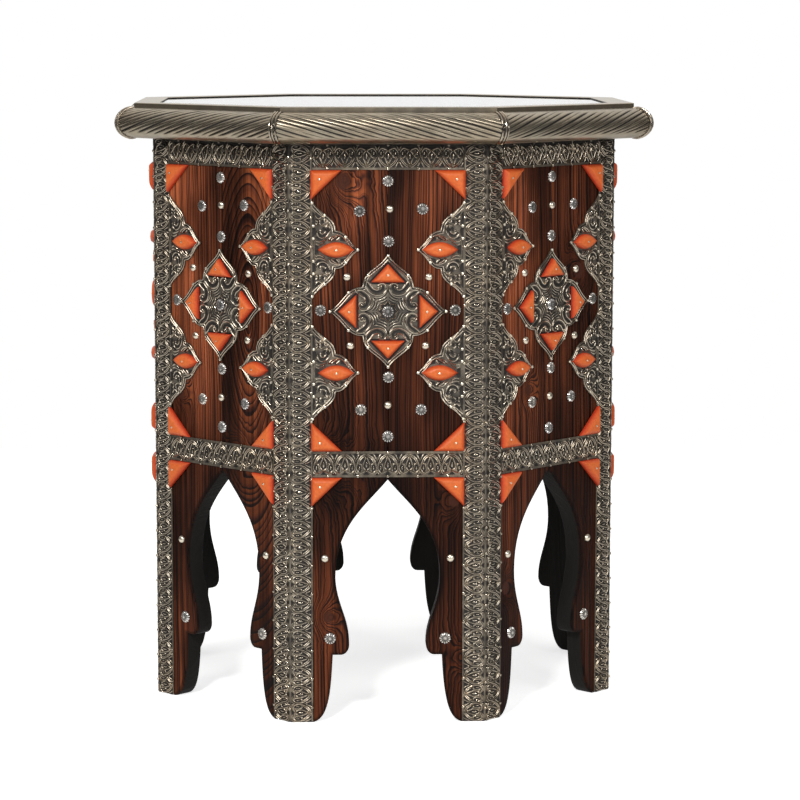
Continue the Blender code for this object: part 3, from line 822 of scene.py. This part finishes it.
def planks(wood):
    """Two planks to a side, their edges eased, each with its own pith and knots."""
    edge = leg_edge()
    turns = np.linspace(0, math.pi / 2, EDGE_STEPS)
    levels = [(INNER_REACH + EDGE_ROUND * (1 - math.cos(turn)), EDGE_ROUND * (1 - math.sin(turn))) for turn in turns]
    levels += [(BODY_REACH - EDGE_ROUND * (1 - math.sin(turn)), EDGE_ROUND * (1 - math.cos(turn))) for turn in turns]
    for hand, sign in (("left", -1), ("right", 1)):
        loops = []
        for reach, ease in levels:
            corner = reach * SLOPE - MITRE_GAP
            outline = np.vstack([[(JOINT_GAP, PLANK_TOP), (corner, PLANK_TOP), (corner, 0.0)], edge]) * (sign, 1)
            if sign > 0:
                outline = outline[::-1]
            loops.append(at(inset(outline, ease), reach))
        loops.append(at(inset(outline, EDGE_BURN_WIDTH), BODY_REACH))
        shape = Shape()
        stack(shape, loops)
        unburnt = np.tile(np.abs(outline[:, 0]) < 2 * JOINT_GAP, (len(loops), 1)).astype(float)
        unburnt[-1] = 1.0
        shape.crests[-1] = unburnt.ravel()
        mesh = shape.mesh(f"{hand}_plank", wood, sharp=60)
        for turn in range(SIDES):
            name = f"side_{turn + 1}_{hand}_plank"
            piece = place(f"{name}_wood", mesh, turn, [name])
            grain(piece, name, sign)


def grain(piece, name, sign):
    """Pith and knots of a plank, seeded where the photograph doesn't show them."""
    pith = (sign * rng.uniform(0.12, 0.36), -BODY_REACH + rng.uniform(0.02, 0.10), rng.uniform(-0.05, 0.05))
    upper, lower = ((sign * rng.uniform(0.015, 0.075), rng.uniform(low, high), rng.uniform(0.008, 0.014))
                    for low, high in ((0.28, 0.52), (0.04, 0.22)))
    values = FRONT_GRAIN.get(name, (pith, upper, lower, NO_KNOT, rng.uniform(0.80, 1.10), rng.uniform(-0.1, 0.1)))
    for key, value in zip(GRAIN_KEYS, values):
        piece[key] = value


def palmette(half_pitch, half_height):
    """One palmette, its base down and its apex up, drawn about the origin of the sheet."""
    shape = Shape()
    for sign in (1, -1):
        size = np.array([sign * half_pitch, half_height])
        for outline in PALMETTE_HOLLOWS:
            hollow(shape, np.array(outline) * size)
        for line in PALMETTE_LINES:
            rib(shape, spline(line, 3) * size, PALMETTE_RIB_WIDTH, PALMETTE_RIB_HEIGHT)
    leaf_places = (PALMETTE_EYE, PALMETTE_LEAF, ((-PALMETTE_LEAF[0][0], PALMETTE_LEAF[0][1]), PALMETTE_LEAF[1]))
    for (across, up), (wide, tall) in leaf_places:
        dome(shape, (across * half_pitch, up * half_height, SHEET_FRONT),
             (wide * half_pitch, tall * half_height), LEAF_HEIGHT, spokes=8, rings=2)
    return shape


def row_of(shape, low, high, pitch, half_height, move):
    """Row of palmettes along a stretch, as many as its pitch fits best, each moved to its middle."""
    count = round((high - low) / pitch)
    unit = palmette((high - low) / count / 2, half_height)
    for step in range(count):
        middle = low + (high - low) * (step + 0.5) / count
        shape.include(unit, lambda points: move(points, middle))


def spaced(low, high, spacing):
    """Evenly spaced places on a stretch, half a space from its ends."""
    count = round((high - low) / spacing)
    return low + (np.arange(count) + 0.5) * (high - low) / count


def pin(shape, across, up, out=SHEET_FRONT, radius=PIN_RADIUS, height=PIN_HEIGHT):
    dome(shape, (across, up, out), (radius, radius), height, spokes=8, rings=2)


def shade_under_rim(shape):
    """Painted shade: darken a shape's metal close under the rim, where the rim shadows it."""
    for points, crest in zip(shape.blocks, shape.crests):
        crest *= RIM_SHADE_CREST + (1 - RIM_SHADE_CREST) * np.clip((PLANK_TOP - points[:, 1]) / RIM_SHADE_DEPTH, 0, 1)


def bands(metal):
    """Chased bands round the waist and under the top, their palmettes pointing to the panel."""
    for ending, box, apex in (("waist_band", WAIST_BAND, 1), ("top_band", TOP_BAND, -1)):
        low, high = box[0].z, box[1].z
        shape = Shape()
        plate(shape, [(-PANEL_EDGE, low), (PANEL_EDGE, low), (PANEL_EDGE, high), (-PANEL_EDGE, high)])
        for edge, way in ((low, 1), (high, -1)):
            level = edge + way * EDGE_RIB_WIDTH / 2
            rib(shape, [(-PANEL_EDGE, level), (PANEL_EDGE, level)], EDGE_RIB_WIDTH, EDGE_RIB_HEIGHT, bright=EDGE_CREST)
            for across in spaced(-PANEL_EDGE, PANEL_EDGE, BAND_PIN_SPACING):
                pin(shape, across, level, SHEET_FRONT + EDGE_RIB_HEIGHT)
        half_height = (high - low) / 2 - EDGE_RIB_WIDTH * 0.8
        middle = (low + high) / 2
        row_of(shape, -PANEL_EDGE, PANEL_EDGE, BAND_PITCH, half_height,
               lambda points, along: points * (apex, apex, 1) + (along, middle, 0))
        # painted shade close under the rim
        shade_under_rim(shape)
        mesh = shape.mesh(ending, metal)
        for turn in range(SIDES):
            node_name = f"side_{turn + 1}_{ending}"
            place(f"{node_name}_relief", mesh, turn, [node_name])


def corner_wing():
    """Right-hand wing of a corner strip, its palmettes pointing to the panel."""
    shape = Shape()
    low, high = STRIP_LEVELS[0], STRIP_LEVELS[-1]
    loops = []
    for out in (SHEET_BACK, SHEET_FRONT):
        fold = out * SLOPE
        edge = [(STRIP_EDGE, level) for level in STRIP_LEVELS[::-1]]
        loops.append(at([(fold, level) for level in STRIP_LEVELS] + edge, out))
    stack(shape, loops, crest=SHEET_CREST)
    border = STRIP_EDGE + EDGE_RIB_WIDTH / 2
    rib(shape, [(border, level) for level in STRIP_LEVELS], EDGE_RIB_WIDTH, EDGE_RIB_HEIGHT, bright=STRIP_EDGE_CREST)
    for level in spaced(low, high, EDGE_PIN_SPACING):
        pin(shape, border, level, SHEET_FRONT + EDGE_RIB_HEIGHT)
    left = border
    right = SHEET_FRONT * SLOPE - BEAD_WIDTH / 2
    middle = (left + right) / 2
    row_of(shape, low, high, STRIP_PITCH, (right - left) / 2,
           lambda points, along: np.stack([middle - points[:, 1], along + points[:, 0], points[:, 2]], 1))
    return shape


def both_wings(wing):
    """A shape on the wing right of side 1, and its mirror image beyond the corner on side 2."""
    shape = Shape()
    shape.include(wing, lambda points: points)
    shape.include(wing, lambda points: turned(mirrored(points), 1), flip=True)
    return shape


def corner_strips(metal):
    shape = both_wings(corner_wing())
    fold = np.array([SHEET_FRONT * SLOPE, 0.0, SHEET_FRONT])
    facing = (math.sin(EIGHTH / 2), 0.0, math.cos(EIGHTH / 2))
    bead = [fold + (0, level, 0) for level in STRIP_LEVELS]
    rib(shape, bead, BEAD_WIDTH, BEAD_HEIGHT, out=facing, bright=BEAD_CREST)
    for level in spaced(STRIP_LEVELS[0], STRIP_LEVELS[-1], BEAD_PIN_SPACING):
        crown = fold + (0, level, 0) + np.array(facing) * BEAD_HEIGHT * 0.4
        dome(shape, crown, (PIN_RADIUS, PIN_RADIUS), PIN_HEIGHT, out=facing, spokes=8, rings=2)
    # painted shade close under the rim
    shade_under_rim(shape)
    mesh = shape.mesh("corner_strip", metal)
    for turn in range(SIDES):
        place(f"corner_strip_{turn + 1}_relief", mesh, turn, [f"corner_strip_{turn + 1}"])


def spandrel_levels():
    """Half the height of a spandrel, and the middles of the upper and the lower one."""
    half = (PANEL_TOP - PANEL_MIDDLE - TRIANGLE_LEG - SPANDREL_MARGIN - SPANDREL_SPACING / 2) / 2
    rise = SPANDREL_SPACING / 2 + half
    return half, (PANEL_MIDDLE + rise, PANEL_MIDDLE - rise)


def lozenge(length, height, steps=12):
    """Lens outline about the origin."""
    share = np.linspace(-1, 1, steps + 1)[:-1]
    upper = np.stack([share * length / 2, height / 2 * (1 - share * share)], 1)
    return np.vstack([upper, -upper])


def lozenge_middle():
    return STRIP_EDGE - SPANDREL_REACH + LOZENGE_TIP_MARGIN + LOZENGE_LENGTH / 2


def spandrel_plate(half_height):
    """Half-star plate with its back on the origin, pointing left: double outline, volutes, leaves and quarries."""
    half = half_star(SPANDREL_REACH, half_height, SPANDREL_NOTCH, STAR_STEPS)
    loop = anticlockwise(half * (-1, 1))
    shape = Shape()
    plate(shape, loop, GROUND_CREST)
    for depth in OUTLINE_INSETS:
        rib(shape, inset(loop, depth), OUTLINE_WIDTH, OUTLINE_HEIGHT)
    dark_band(shape, *(inset(loop, depth) for depth in OUTLINE_GAP))
    place_at, reach = SPANDREL_BAR
    rib(shape, [(-place_at, -reach), (-place_at, reach)], SPANDREL_RIB_WIDTH)
    for way in (1, -1):
        for line in SPANDREL_LINES_MM:
            rib(shape, spline(np.array(line) * MM) * (-1, way), SPANDREL_RIB_WIDTH)
        for outline in SPANDREL_HOLLOWS_MM:
            hollow(shape, np.array(outline) * (-MM, way * MM))
    return shape


def spandrel_pins(half_height):
    """Pins round a spandrel, on its tips and outline."""
    shape = Shape()
    curve = half_star(SPANDREL_REACH, half_height, SPANDREL_NOTCH, STAR_STEPS)
    spots = [curve[index] * PIN_INSET for index in PIN_STEPS]
    spots += [np.array(spot) * MM for spot in BACK_PINS_MM]
    for across, up in spots:
        for way in (1, -1) if up > PIN_RADIUS else (1,):
            pin(shape, -across, way * up, SHEET_FRONT + RIB_HEIGHT / 2)
    return shape


def spandrels(metal, nail):
    half_height, levels = spandrel_levels()
    parts = (("spandrels", spandrel_plate(half_height), metal), ("spandrel_pins", spandrel_pins(half_height), nail))
    for ending, part, finish in parts:
        wing = Shape()
        for level in levels:
            wing.include(part, lambda points: points + (STRIP_EDGE, level, 0))
        mesh = both_wings(wing).mesh(ending, finish)
        for turn in range(SIDES):
            place(f"corner_{turn + 1}_{ending}", mesh, turn)


def corner_resin(resin, nail):
    """Triangles in the panel and leg corners, and lozenges on the spandrels, each held by a pin."""
    wing = Shape()
    pins = Shape()
    head = RESIN_FRONT - RIB_SINK
    levels = spandrel_levels()[1]
    for level in levels:
        centre = np.array([lozenge_middle(), level])
        pillow(wing, lozenge(LOZENGE_LENGTH, LOZENGE_HEIGHT) + centre, centre)
        pin(pins, *centre, head, RESIN_PIN_RADIUS, RESIN_PIN_HEIGHT)
    outer, tip = STRIP_EDGE + TRIANGLE_TUCK, STRIP_EDGE - TRIANGLE_LEG
    seats = ((PANEL_TOP - SEAT_GAP, -1), (WAIST_TOP + SEAT_GAP, 1), (WAIST_LOW - SEAT_GAP, -1))
    for edge, way in seats:
        corners = [(outer, edge), (outer, edge + way * TRIANGLE_LEG), (tip, edge)]
        centre = in_centre(corners)
        pillow(wing, rounded(corners, RESIN_CORNER), centre)
        pin(pins, *centre, head, RESIN_PIN_RADIUS, RESIN_PIN_HEIGHT)
    resin_mesh = both_wings(wing).mesh("corner_resin", resin, sharp=55)
    pin_mesh = both_wings(pins).mesh("corner_resin_pins", nail)
    for turn in range(SIDES):
        place(f"corner_{turn + 1}_resin", resin_mesh, turn)
        place(f"corner_{turn + 1}_resin_pins", pin_mesh, turn)


def quarter_turn(points, count):
    """Flat points turned about the origin by quarter turns."""
    angle = count * math.pi / 2
    return np.asarray(points) @ np.array([[math.cos(angle), math.sin(angle)], [-math.sin(angle), math.cos(angle)]])


def small_triangle(petal):
    """Corners and centre of the resin triangle in a petal of the medallion."""
    tip = STAR_HALF_WIDTH if petal % 2 else STAR_HALF_HEIGHT
    apex = tip - SMALL_TRIANGLE_MARGIN
    base = apex - SMALL_TRIANGLE_HEIGHT
    corners = [(0, apex), (-SMALL_TRIANGLE_BASE / 2, base), (SMALL_TRIANGLE_BASE / 2, base)]
    corners = quarter_turn(corners, petal) + (0.0, PANEL_MIDDLE)
    return corners, in_centre(corners)


def medallion_plate():
    """Four-petalled plate: double outline, a pair of volutes in each petal, ripples and a rosette."""
    shape = Shape()
    half = half_star(STAR_HALF_WIDTH, STAR_HALF_HEIGHT, STAR_NOTCH, STAR_STEPS)
    loop = anticlockwise(np.vstack([half, half[-2:0:-1] * (-1, 1)]))
    centre = np.array([0.0, PANEL_MIDDLE])
    plate(shape, loop + centre, GROUND_CREST)
    for depth in OUTLINE_INSETS:
        rib(shape, inset(loop, depth) + centre, OUTLINE_WIDTH, OUTLINE_HEIGHT, closed=True)
    dark_band(shape, *(inset(loop, depth) + centre for depth in OUTLINE_GAP), closed=True)
    angles = np.arange(48) * math.tau / 48
    reach = ROSETTE_VALLEY + (ROSETTE_TIP - ROSETTE_VALLEY) * np.abs(np.cos(4 * angles)) ** 3
    rosette = np.stack([reach * np.cos(angles), reach * np.sin(angles)], 1) + centre
    hollow(shape, rosette)
    rib(shape, rosette, closed=True)
    sweep = np.radians(np.arange(185, 330, 9))
    way = np.stack([np.cos(sweep), np.sin(sweep)], 1)
    stretch = MM * np.array([STAR_HALF_WIDTH / STAR_HALF_HEIGHT, 1.0])
    for petal in range(4):
        triangle_corners, triangle_centre = small_triangle(petal)
        # painted shadow of the resin triangle, as a dark dish round it
        hollow(shape, triangle_centre + (triangle_corners - triangle_centre) * TRIANGLE_SHADOW_SPREAD)
        for sign in (1, -1):
            def laid(points):
                return quarter_turn(np.asarray(points) * (sign, 1), petal) * stretch + centre
            hollow(shape, inset(anticlockwise(laid(VOLUTE_HOLLOW_MM)), VOLUTE_INSET))
            for line in (VOLUTE_MM, VOLUTE_LEAF_MM):
                rib(shape, laid(spline(line)), VOLUTE_WIDTH, VOLUTE_HEIGHT, bright=VOLUTE_CREST)
            dome(shape, (*laid([CURL_MM])[0], SHEET_FRONT), (RIB_WIDTH, RIB_WIDTH), VOLUTE_HEIGHT, spokes=8, rings=2)
            for radius in RIPPLE_RADII_MM:
                arc, near, far = (np.array(RIPPLE_CENTRE_MM) + (radius + gap) * way for gap in (0.0, *RIPPLE_GAP_MM))
                kept = (arc[:, 0] > 0.5) & (arc[:, 0] < arc[:, 1] - 0.4)
                kept &= np.hypot(*arc.T) > RIPPLE_CLEARANCE_MM
                if kept.sum() > 2:
                    rib(shape, laid(arc[kept]), RIPPLE_WIDTH, RIPPLE_HEIGHT, bright=VOLUTE_CREST)
                    dark_band(shape, *(laid(edge[kept])[::sign] for edge in (far, near)))
    return shape


def medallions(metal, resin, nail):
    plate_mesh = medallion_plate().mesh("medallion", metal)
    triangles = Shape()
    pins = Shape()
    head = RESIN_FRONT - RIB_SINK
    on_rib = SHEET_FRONT + RIB_HEIGHT / 2
    middle = np.array([0.0, PANEL_MIDDLE])
    for petal in range(4):
        corners, centre = small_triangle(petal)
        tip = STAR_HALF_WIDTH if petal % 2 else STAR_HALF_HEIGHT
        pillow(triangles, rounded(corners, RESIN_CORNER), centre)
        pin(pins, *centre, head, RESIN_PIN_RADIUS, RESIN_PIN_HEIGHT)
        pin(pins, *(quarter_turn([(0, tip - PIN_RADIUS)], petal)[0] + middle), on_rib)
    for across, up in STAR_PINS_MM:
        for side in (1, -1):
            for way in (1, -1):
                pin(pins, side * across * MM, PANEL_MIDDLE + way * up * MM, on_rib)
    resin_mesh = triangles.mesh("medallion_resin", resin, sharp=55)
    pin_mesh = pins.mesh("medallion_pins", nail)
    for turn in range(SIDES):
        side = f"side_{turn + 1}"
        place(f"{side}_medallion_plate", plate_mesh, turn, [f"{side}_medallion"])
        place(f"{side}_medallion_resin", resin_mesh, turn)
        place(f"{side}_medallion_pins", pin_mesh, turn)


def nails(nail, pearl):
    """Flower-headed and domed nails, set by hand and so a little uneven from side to side."""
    for turn in range(SIDES):
        side = f"side_{turn + 1}"
        jitter = NAIL_JITTER if turn else 0.0
        flowers, domes = Shape(), Shape()
        for shape, panel, leg, radius, height, petals in (
                (flowers, FLOWER_NAILS_MM, LEG_FLOWER_MM, FLOWER_NAIL_RADIUS, FLOWER_NAIL_HEIGHT, FLOWER_PETALS),
                (domes, DOME_NAILS_MM, LEG_DOME_MM, DOME_NAIL_RADIUS, DOME_NAIL_HEIGHT, 0)):
            spots = [(across * MM, PANEL_MIDDLE + up * MM) for across, up in panel]
            spots += [(sign * leg[0] * MM, leg[1] * MM) for sign in (-1, 1)]
            for spot in spots:
                across, up = np.array(spot) + rng.uniform(-jitter, jitter, 2)
                dome(shape, (across, up, BODY_REACH), (radius, radius), height, spokes=18, rings=5, petals=petals)
        dome(flowers, (0.0, PANEL_MIDDLE, SHEET_FRONT), (FLOWER_NAIL_RADIUS, FLOWER_NAIL_RADIUS), FLOWER_NAIL_HEIGHT,
             rings=5, petals=FLOWER_PETALS)
        place(f"{side}_flower_nails", flowers.mesh(f"{side}_flower_nails", nail), turn)
        place(f"{side}_dome_nails", domes.mesh(f"{side}_dome_nails", pearl), turn)


def rim_section(angles, growth=0.0):
    """Half-round section as reach and height at angles from straight out."""
    middle = (MOULDING[0].z + MOULDING[1].z) / 2
    half = (MOULDING[1].z - MOULDING[0].z) / 2 - CUFF_THICKNESS + growth
    back = BOARD_REACH + SEAT_GAP
    reach = -MOULDING[0].y - CUFF_THICKNESS - back + growth
    return back + reach * np.cos(angles), middle + half * np.sin(angles)


def rim_shape(slant):
    """Half-round moulding with slanting chased grooves, on columns that follow the grooves."""
    angles = np.linspace(-math.pi / 2, math.pi / 2, RIM_STEPS + 1)
    reach, height = rim_section(angles)
    longest = reach.max() * SLOPE
    first = -math.ceil((longest + GROOVE_RUN) / GROOVE_PITCH)
    shares = np.array(STRAND_STEPS)
    hollows = np.abs(2 * shares - 1) ** GROOVE_SHARPNESS
    columns, depths = [], []
    for groove in range(first, -first + 1):
        start = rng.uniform(*GROOVE_TOP)
        stop = rng.uniform(*GROOVE_FOOT)
        strength = rng.uniform(0.75, 1.1)
        drift = rng.uniform(-0.12, 0.12) * GROOVE_PITCH
        fade = np.clip((start - angles) / 0.35, 0, 1) * np.clip((angles - stop) / 0.14, 0, 1)
        fade = fade * (1 - GROOVE_TAPER * (angles - stop) / (start - stop))
        for share, dent in zip(shares, hollows):
            along = (groove + share) * GROOVE_PITCH + drift
            columns.append(along - slant * angles * GROOVE_RUN * 2 / math.pi)
            depths.append(dent * strength * fade)
    columns, depths = np.array(columns), np.array(depths)
    limit = reach * SLOPE - MITRE_GAP
    inside = np.abs(columns) < limit
    across = np.clip(columns, -limit, limit)
    depths = np.where(inside, depths, 0.0)
    tilt = np.stack([np.cos(angles), np.sin(angles)])
    out = reach - depths * GROOVE_DEPTH * tilt[0]
    up = height - depths * GROOVE_DEPTH * tilt[1]
    rows = len(angles)
    points = np.stack([across, np.broadcast_to(up, across.shape), np.broadcast_to(out, across.shape)], 2)
    faces = []
    for column in range(len(columns) - 1):
        for row in range(rows - 1):
            here, there = column * rows + row, (column + 1) * rows + row
            if inside[column:column + 2, row:row + 2].any():
                faces.append([here, there, there + 1, here + 1])
    shape = Shape()
    shape.add(points, faces, RIM_CREST * np.clip(1 - GROOVE_DARKNESS * depths, 0, 1).ravel())
    return shape


def rim(polished, metal):
    for turn in range(SIDES):
        shape = rim_shape(1 if turn % 2 == 0 else -1)
        mesh = shape.mesh(f"rim_{turn + 1}", polished, sharp=70)
        tidy(mesh)
        node_name = f"side_{turn + 1}_rim_moulding"
        place(f"{node_name}_chased", mesh, turn, [node_name])

    cuff = Shape()
    angles = np.linspace(-math.pi / 2, math.pi / 2, 15)
    reach, height = rim_section(angles)
    for offset in (-CUFF_RIB_SPACING, 0.0, CUFF_RIB_SPACING):
        path = np.stack([reach * SLOPE - abs(offset), height, reach], 1)
        facing = np.stack([np.zeros_like(angles), np.sin(angles), np.cos(angles)], 1)
        if offset == 0.0:
            facing = np.stack([np.cos(angles) * math.sin(EIGHTH / 2), np.sin(angles),
                               np.cos(angles) * math.cos(EIGHTH / 2)], 1)
        if offset > 0:
            path, facing = turned(mirrored(path), 1), turned(mirrored(facing), 1)
        rib(cuff, path, CUFF_RIB_WIDTH, CUFF_THICKNESS * 1.3, out=facing)
    cuff_ground(cuff, angles)
    cuff_mesh = cuff.mesh("rim_cuff", metal)
    for turn in range(SIDES):
        place(f"corner_{turn + 1}_cuff", cuff_mesh, turn)


def cuff_ground(shape, angles):
    """Dark strip that the ribs of a cuff lie on, over the mitre between two mouldings: patina and painted shade between
    the ribs.
    """
    reach, height = rim_section(angles, growth=HOLLOW_LIFT)
    middle = np.stack([reach * SLOPE, height, reach], 1)
    aside = middle - (CUFF_GROUND, 0, 0)
    beyond = turned(mirrored(aside), 1)
    size = len(angles)
    for first, second in ((aside, middle), (middle, beyond)):
        faces = [[here, size + here, size + here + 1, here + 1] for here in range(size - 1)]
        shape.add(np.vstack([first, second]), faces, 0.0)


def tidy(mesh):
    """Drop the points that no face uses and merge those that meet."""
    shape = bmesh.new()
    shape.from_mesh(mesh)
    bmesh.ops.remove_doubles(shape, verts=shape.verts, dist=1e-6)
    bmesh.ops.dissolve_degenerate(shape, edges=shape.edges, dist=1e-6)
    loose = [vertex for vertex in shape.verts if not vertex.link_faces]
    bmesh.ops.delete(shape, geom=loose, context="VERTS")
    shape.to_mesh(mesh)
    shape.free()


def border(metal):
    """Plain mitred strips round the glass."""
    low, high = BORDER[0].z, BORDER[1].z
    inner, outer = GLASS_REACH + SEAT_GAP, BOARD_REACH
    shape = Shape()
    loops = []
    for level, ease in ((low, 0.0), (high - BORDER_ROUND, 0.0), (high, BORDER_ROUND)):
        near, far = inner + ease, outer - ease
        loops.append(np.array([(-near * SLOPE + MITRE_GAP, level, near), (near * SLOPE - MITRE_GAP, level, near),
                               (far * SLOPE - MITRE_GAP, level, far), (-far * SLOPE + MITRE_GAP, level, far)])[::-1])
    stack(shape, loops)
    # painted reflection and shade on the upright faces, darker than the worn top
    shape.crests[-1] = np.repeat(np.stack([BORDER_SHADED_CRESTS, BORDER_INNER_SHADED_CRESTS], 1), 2)
    frame_shape = Shape()
    for turn in range(SIDES):
        frame_shape.include(shape, lambda points: turned(points, turn))
    place("top_border_strips", frame_shape.mesh("top_border", metal, sharp=20), 0, ["top_border"])


def carried_over(wood, glass):
    """Solids whose shape is already right get their finish."""
    for name, material in (("top_board", wood), ("glass_top", glass)):
        solid = frame["nodes"][name]
        solid.data.materials.clear()
        solid.data.materials.append(material)
    board = frame["nodes"]["top_board"]
    for key, value in zip(GRAIN_KEYS, BOARD_GRAIN):
        board[key] = value


# Stage, light and camera

def stage():
    """Pale floor under a white world. It is lifted to white for the camera, and keeps the table's shadow."""
    mesh = bpy.data.meshes.new("floor")
    mesh.from_pydata([(-FLOOR_REACH, -FLOOR_REACH, 0), (FLOOR_REACH, -FLOOR_REACH, 0),
                      (FLOOR_REACH, FLOOR_REACH, 0), (-FLOOR_REACH, FLOOR_REACH, 0)], [], [(0, 1, 2, 3)])
    floor = bpy.data.objects.new("floor", mesh)
    bpy.context.scene.collection.objects.link(floor)
    material, tree, shader = new_material("pale_floor")
    mottle = noise(tree, coordinates(tree), 3.0)
    connect(tree, shader, Base_Color=blend(tree, mottle, (0.80, 0.80, 0.79, 1), (0.83, 0.83, 0.82, 1)))
    shader.inputs["Roughness"].default_value = 0.9
    shader.inputs["Specular IOR Level"].default_value = 0.0
    shader.inputs["Emission Color"].default_value = (1, 1, 1, 1)
    path = tree.nodes.new("ShaderNodeLightPath")
    reach = node(tree, "ShaderNodeVectorMath", {0: coordinates(tree)}, output=1, operation="LENGTH")
    aside = calc(tree, "ABSOLUTE", node(tree, "ShaderNodeSeparateXYZ", {0: coordinates(tree)}))
    shine = between(tree, aside, 0.35, 0.60, *FLOOR_SHINES)
    mirrored_lift = calc(tree, "MULTIPLY", path.outputs["Is Glossy Ray"],
                         between(tree, reach, *FLOOR_FADE, shine, 0.0))
    seen = calc(tree, "MAXIMUM", path.outputs["Is Camera Ray"], path.outputs["Is Transmission Ray"])
    seen = calc(tree, "MAXIMUM", seen, mirrored_lift)
    connect(tree, shader, Emission_Strength=calc(tree, "MULTIPLY", seen, FLOOR_LIFT))
    mesh.materials.append(material)


def world():
    """White where the camera sees it, softer as fill, and a room with dark sides as metal sees it."""
    scene_world = bpy.data.worlds.new("studio")
    bpy.context.scene.world = scene_world
    scene_world.use_nodes = True
    tree = scene_world.node_tree
    path = tree.nodes.new("ShaderNodeLightPath")
    way = node(tree, "ShaderNodeTexCoord", output=0)
    x, y, z = (node(tree, "ShaderNodeSeparateXYZ", {0: way}, output=axis) for axis in range(3))
    front = between(tree, calc(tree, "ABSOLUTE", z), 0.08, 0.32, FRONT_GLOW, FRONT_LIGHT)
    walls = between(tree, y, -0.10, 0.45, front, 1.0)
    side_shade = between(tree, x, -0.2, 0.2, *SIDE_SHADES)
    dark_sides = calc(tree, "MULTIPLY", between(tree, calc(tree, "ABSOLUTE", x), 0.38, 0.78, 0.0, side_shade),
                      between(tree, z, 0.28, 0.52, 1.0, 0.0))
    ceiling = between(tree, y, 0.0, 0.5, *CEILING_LIGHTS)
    mirrored_light = calc(tree, "MULTIPLY", between(tree, z, 0.28, 0.60, walls, ceiling),
                          calc(tree, "SUBTRACT", 1.0, dark_sides))
    light = between(tree, path.outputs["Is Glossy Ray"], 0.0, 1.0, FILL_LIGHT, mirrored_light)
    seen = calc(tree, "MAXIMUM", path.outputs["Is Camera Ray"], path.outputs["Is Transmission Ray"])
    background = tree.nodes["Background"]
    background.inputs["Color"].default_value = (1, 1, 1, 1)
    tree.links.new(between(tree, seen, 0.0, 1.0, light, 1.0), background.inputs["Strength"])


def lamp(name, place_at, aim, size, power):
    data = bpy.data.lights.new(name, "AREA")
    data.shape = "RECTANGLE"
    data.size, data.size_y = size
    data.energy = power
    light = bpy.data.objects.new(name, data)
    light.location = place_at
    light.rotation_euler = (Vector(aim) - Vector(place_at)).to_track_quat("-Z", "Y").to_euler()
    bpy.context.scene.collection.objects.link(light)


def camera():
    data = bpy.data.cameras.new("camera")
    data.lens = LENS
    data.sensor_width = SENSOR
    data.clip_end = 50.0
    seen = bpy.data.objects.new("camera", data)
    seen.location = CAMERA_PLACE
    seen.rotation_euler = (math.pi / 2 - CAMERA_PITCH, CAMERA_ROLL, CAMERA_TURN)
    bpy.context.scene.collection.objects.link(seen)
    bpy.context.scene.camera = seen


def main():
    patina = (0.012, 0.009, 0.007)
    metal = chased_metal("nickel_silver", (0.50, 0.44, 0.35), (0.52, 0.43, 0.33), patina, 0.19)
    banding = chased_metal("chased_bands", (0.46, 0.40, 0.315), (0.48, 0.395, 0.295), patina, 0.19)
    polished = chased_metal("polished_rim", (0.43, 0.375, 0.285), (0.45, 0.37, 0.265), patina, 0.30, 0.16, 0.00004)
    nail = chased_metal("nail_heads", (0.86, 0.84, 0.82), (0.88, 0.82, 0.74), (0.03, 0.027, 0.024), 0.26)
    pearl = chased_metal("domed_nails", (0.80, 0.73, 0.60), (0.78, 0.69, 0.54), (0.05, 0.045, 0.035), 0.28, 0.12, 0.00002)
    resin = orange_resin()
    wood = burnt_pine("burnt_pine")
    planks(wood)
    bands(banding)
    corner_strips(banding)
    spandrels(metal, pearl)
    corner_resin(resin, pearl)
    medallions(metal, resin, pearl)
    nails(nail, pearl)
    rim(polished, metal)
    border(polished)
    carried_over(burnt_pine("board_pine", along_x=True), clear_glass())
    stage()
    world()
    lamp("key", (-2.3, -1.7, 2.0), (0, 0, 0.33), (1.1, 1.0), 18)
    lamp("fill", (1.9, -1.9, 1.1), (0, 0, 0.30), (0.9, 1.0), 12)
    lamp("top", (0.0, 0.4, 2.4), (0, 0, 0.4), (2.4, 2.4), 6)
    lamp("spark", (-0.7, -2.7, 1.9), (0, 0, 0.4), (0.3, 0.3), 54)
    lamp("low_spark", (0.9, -2.8, 1.0), (0, 0, 0.4), (0.3, 0.3), 10)
    camera()
    bpy.context.scene.view_settings.view_transform = "Standard"


main()
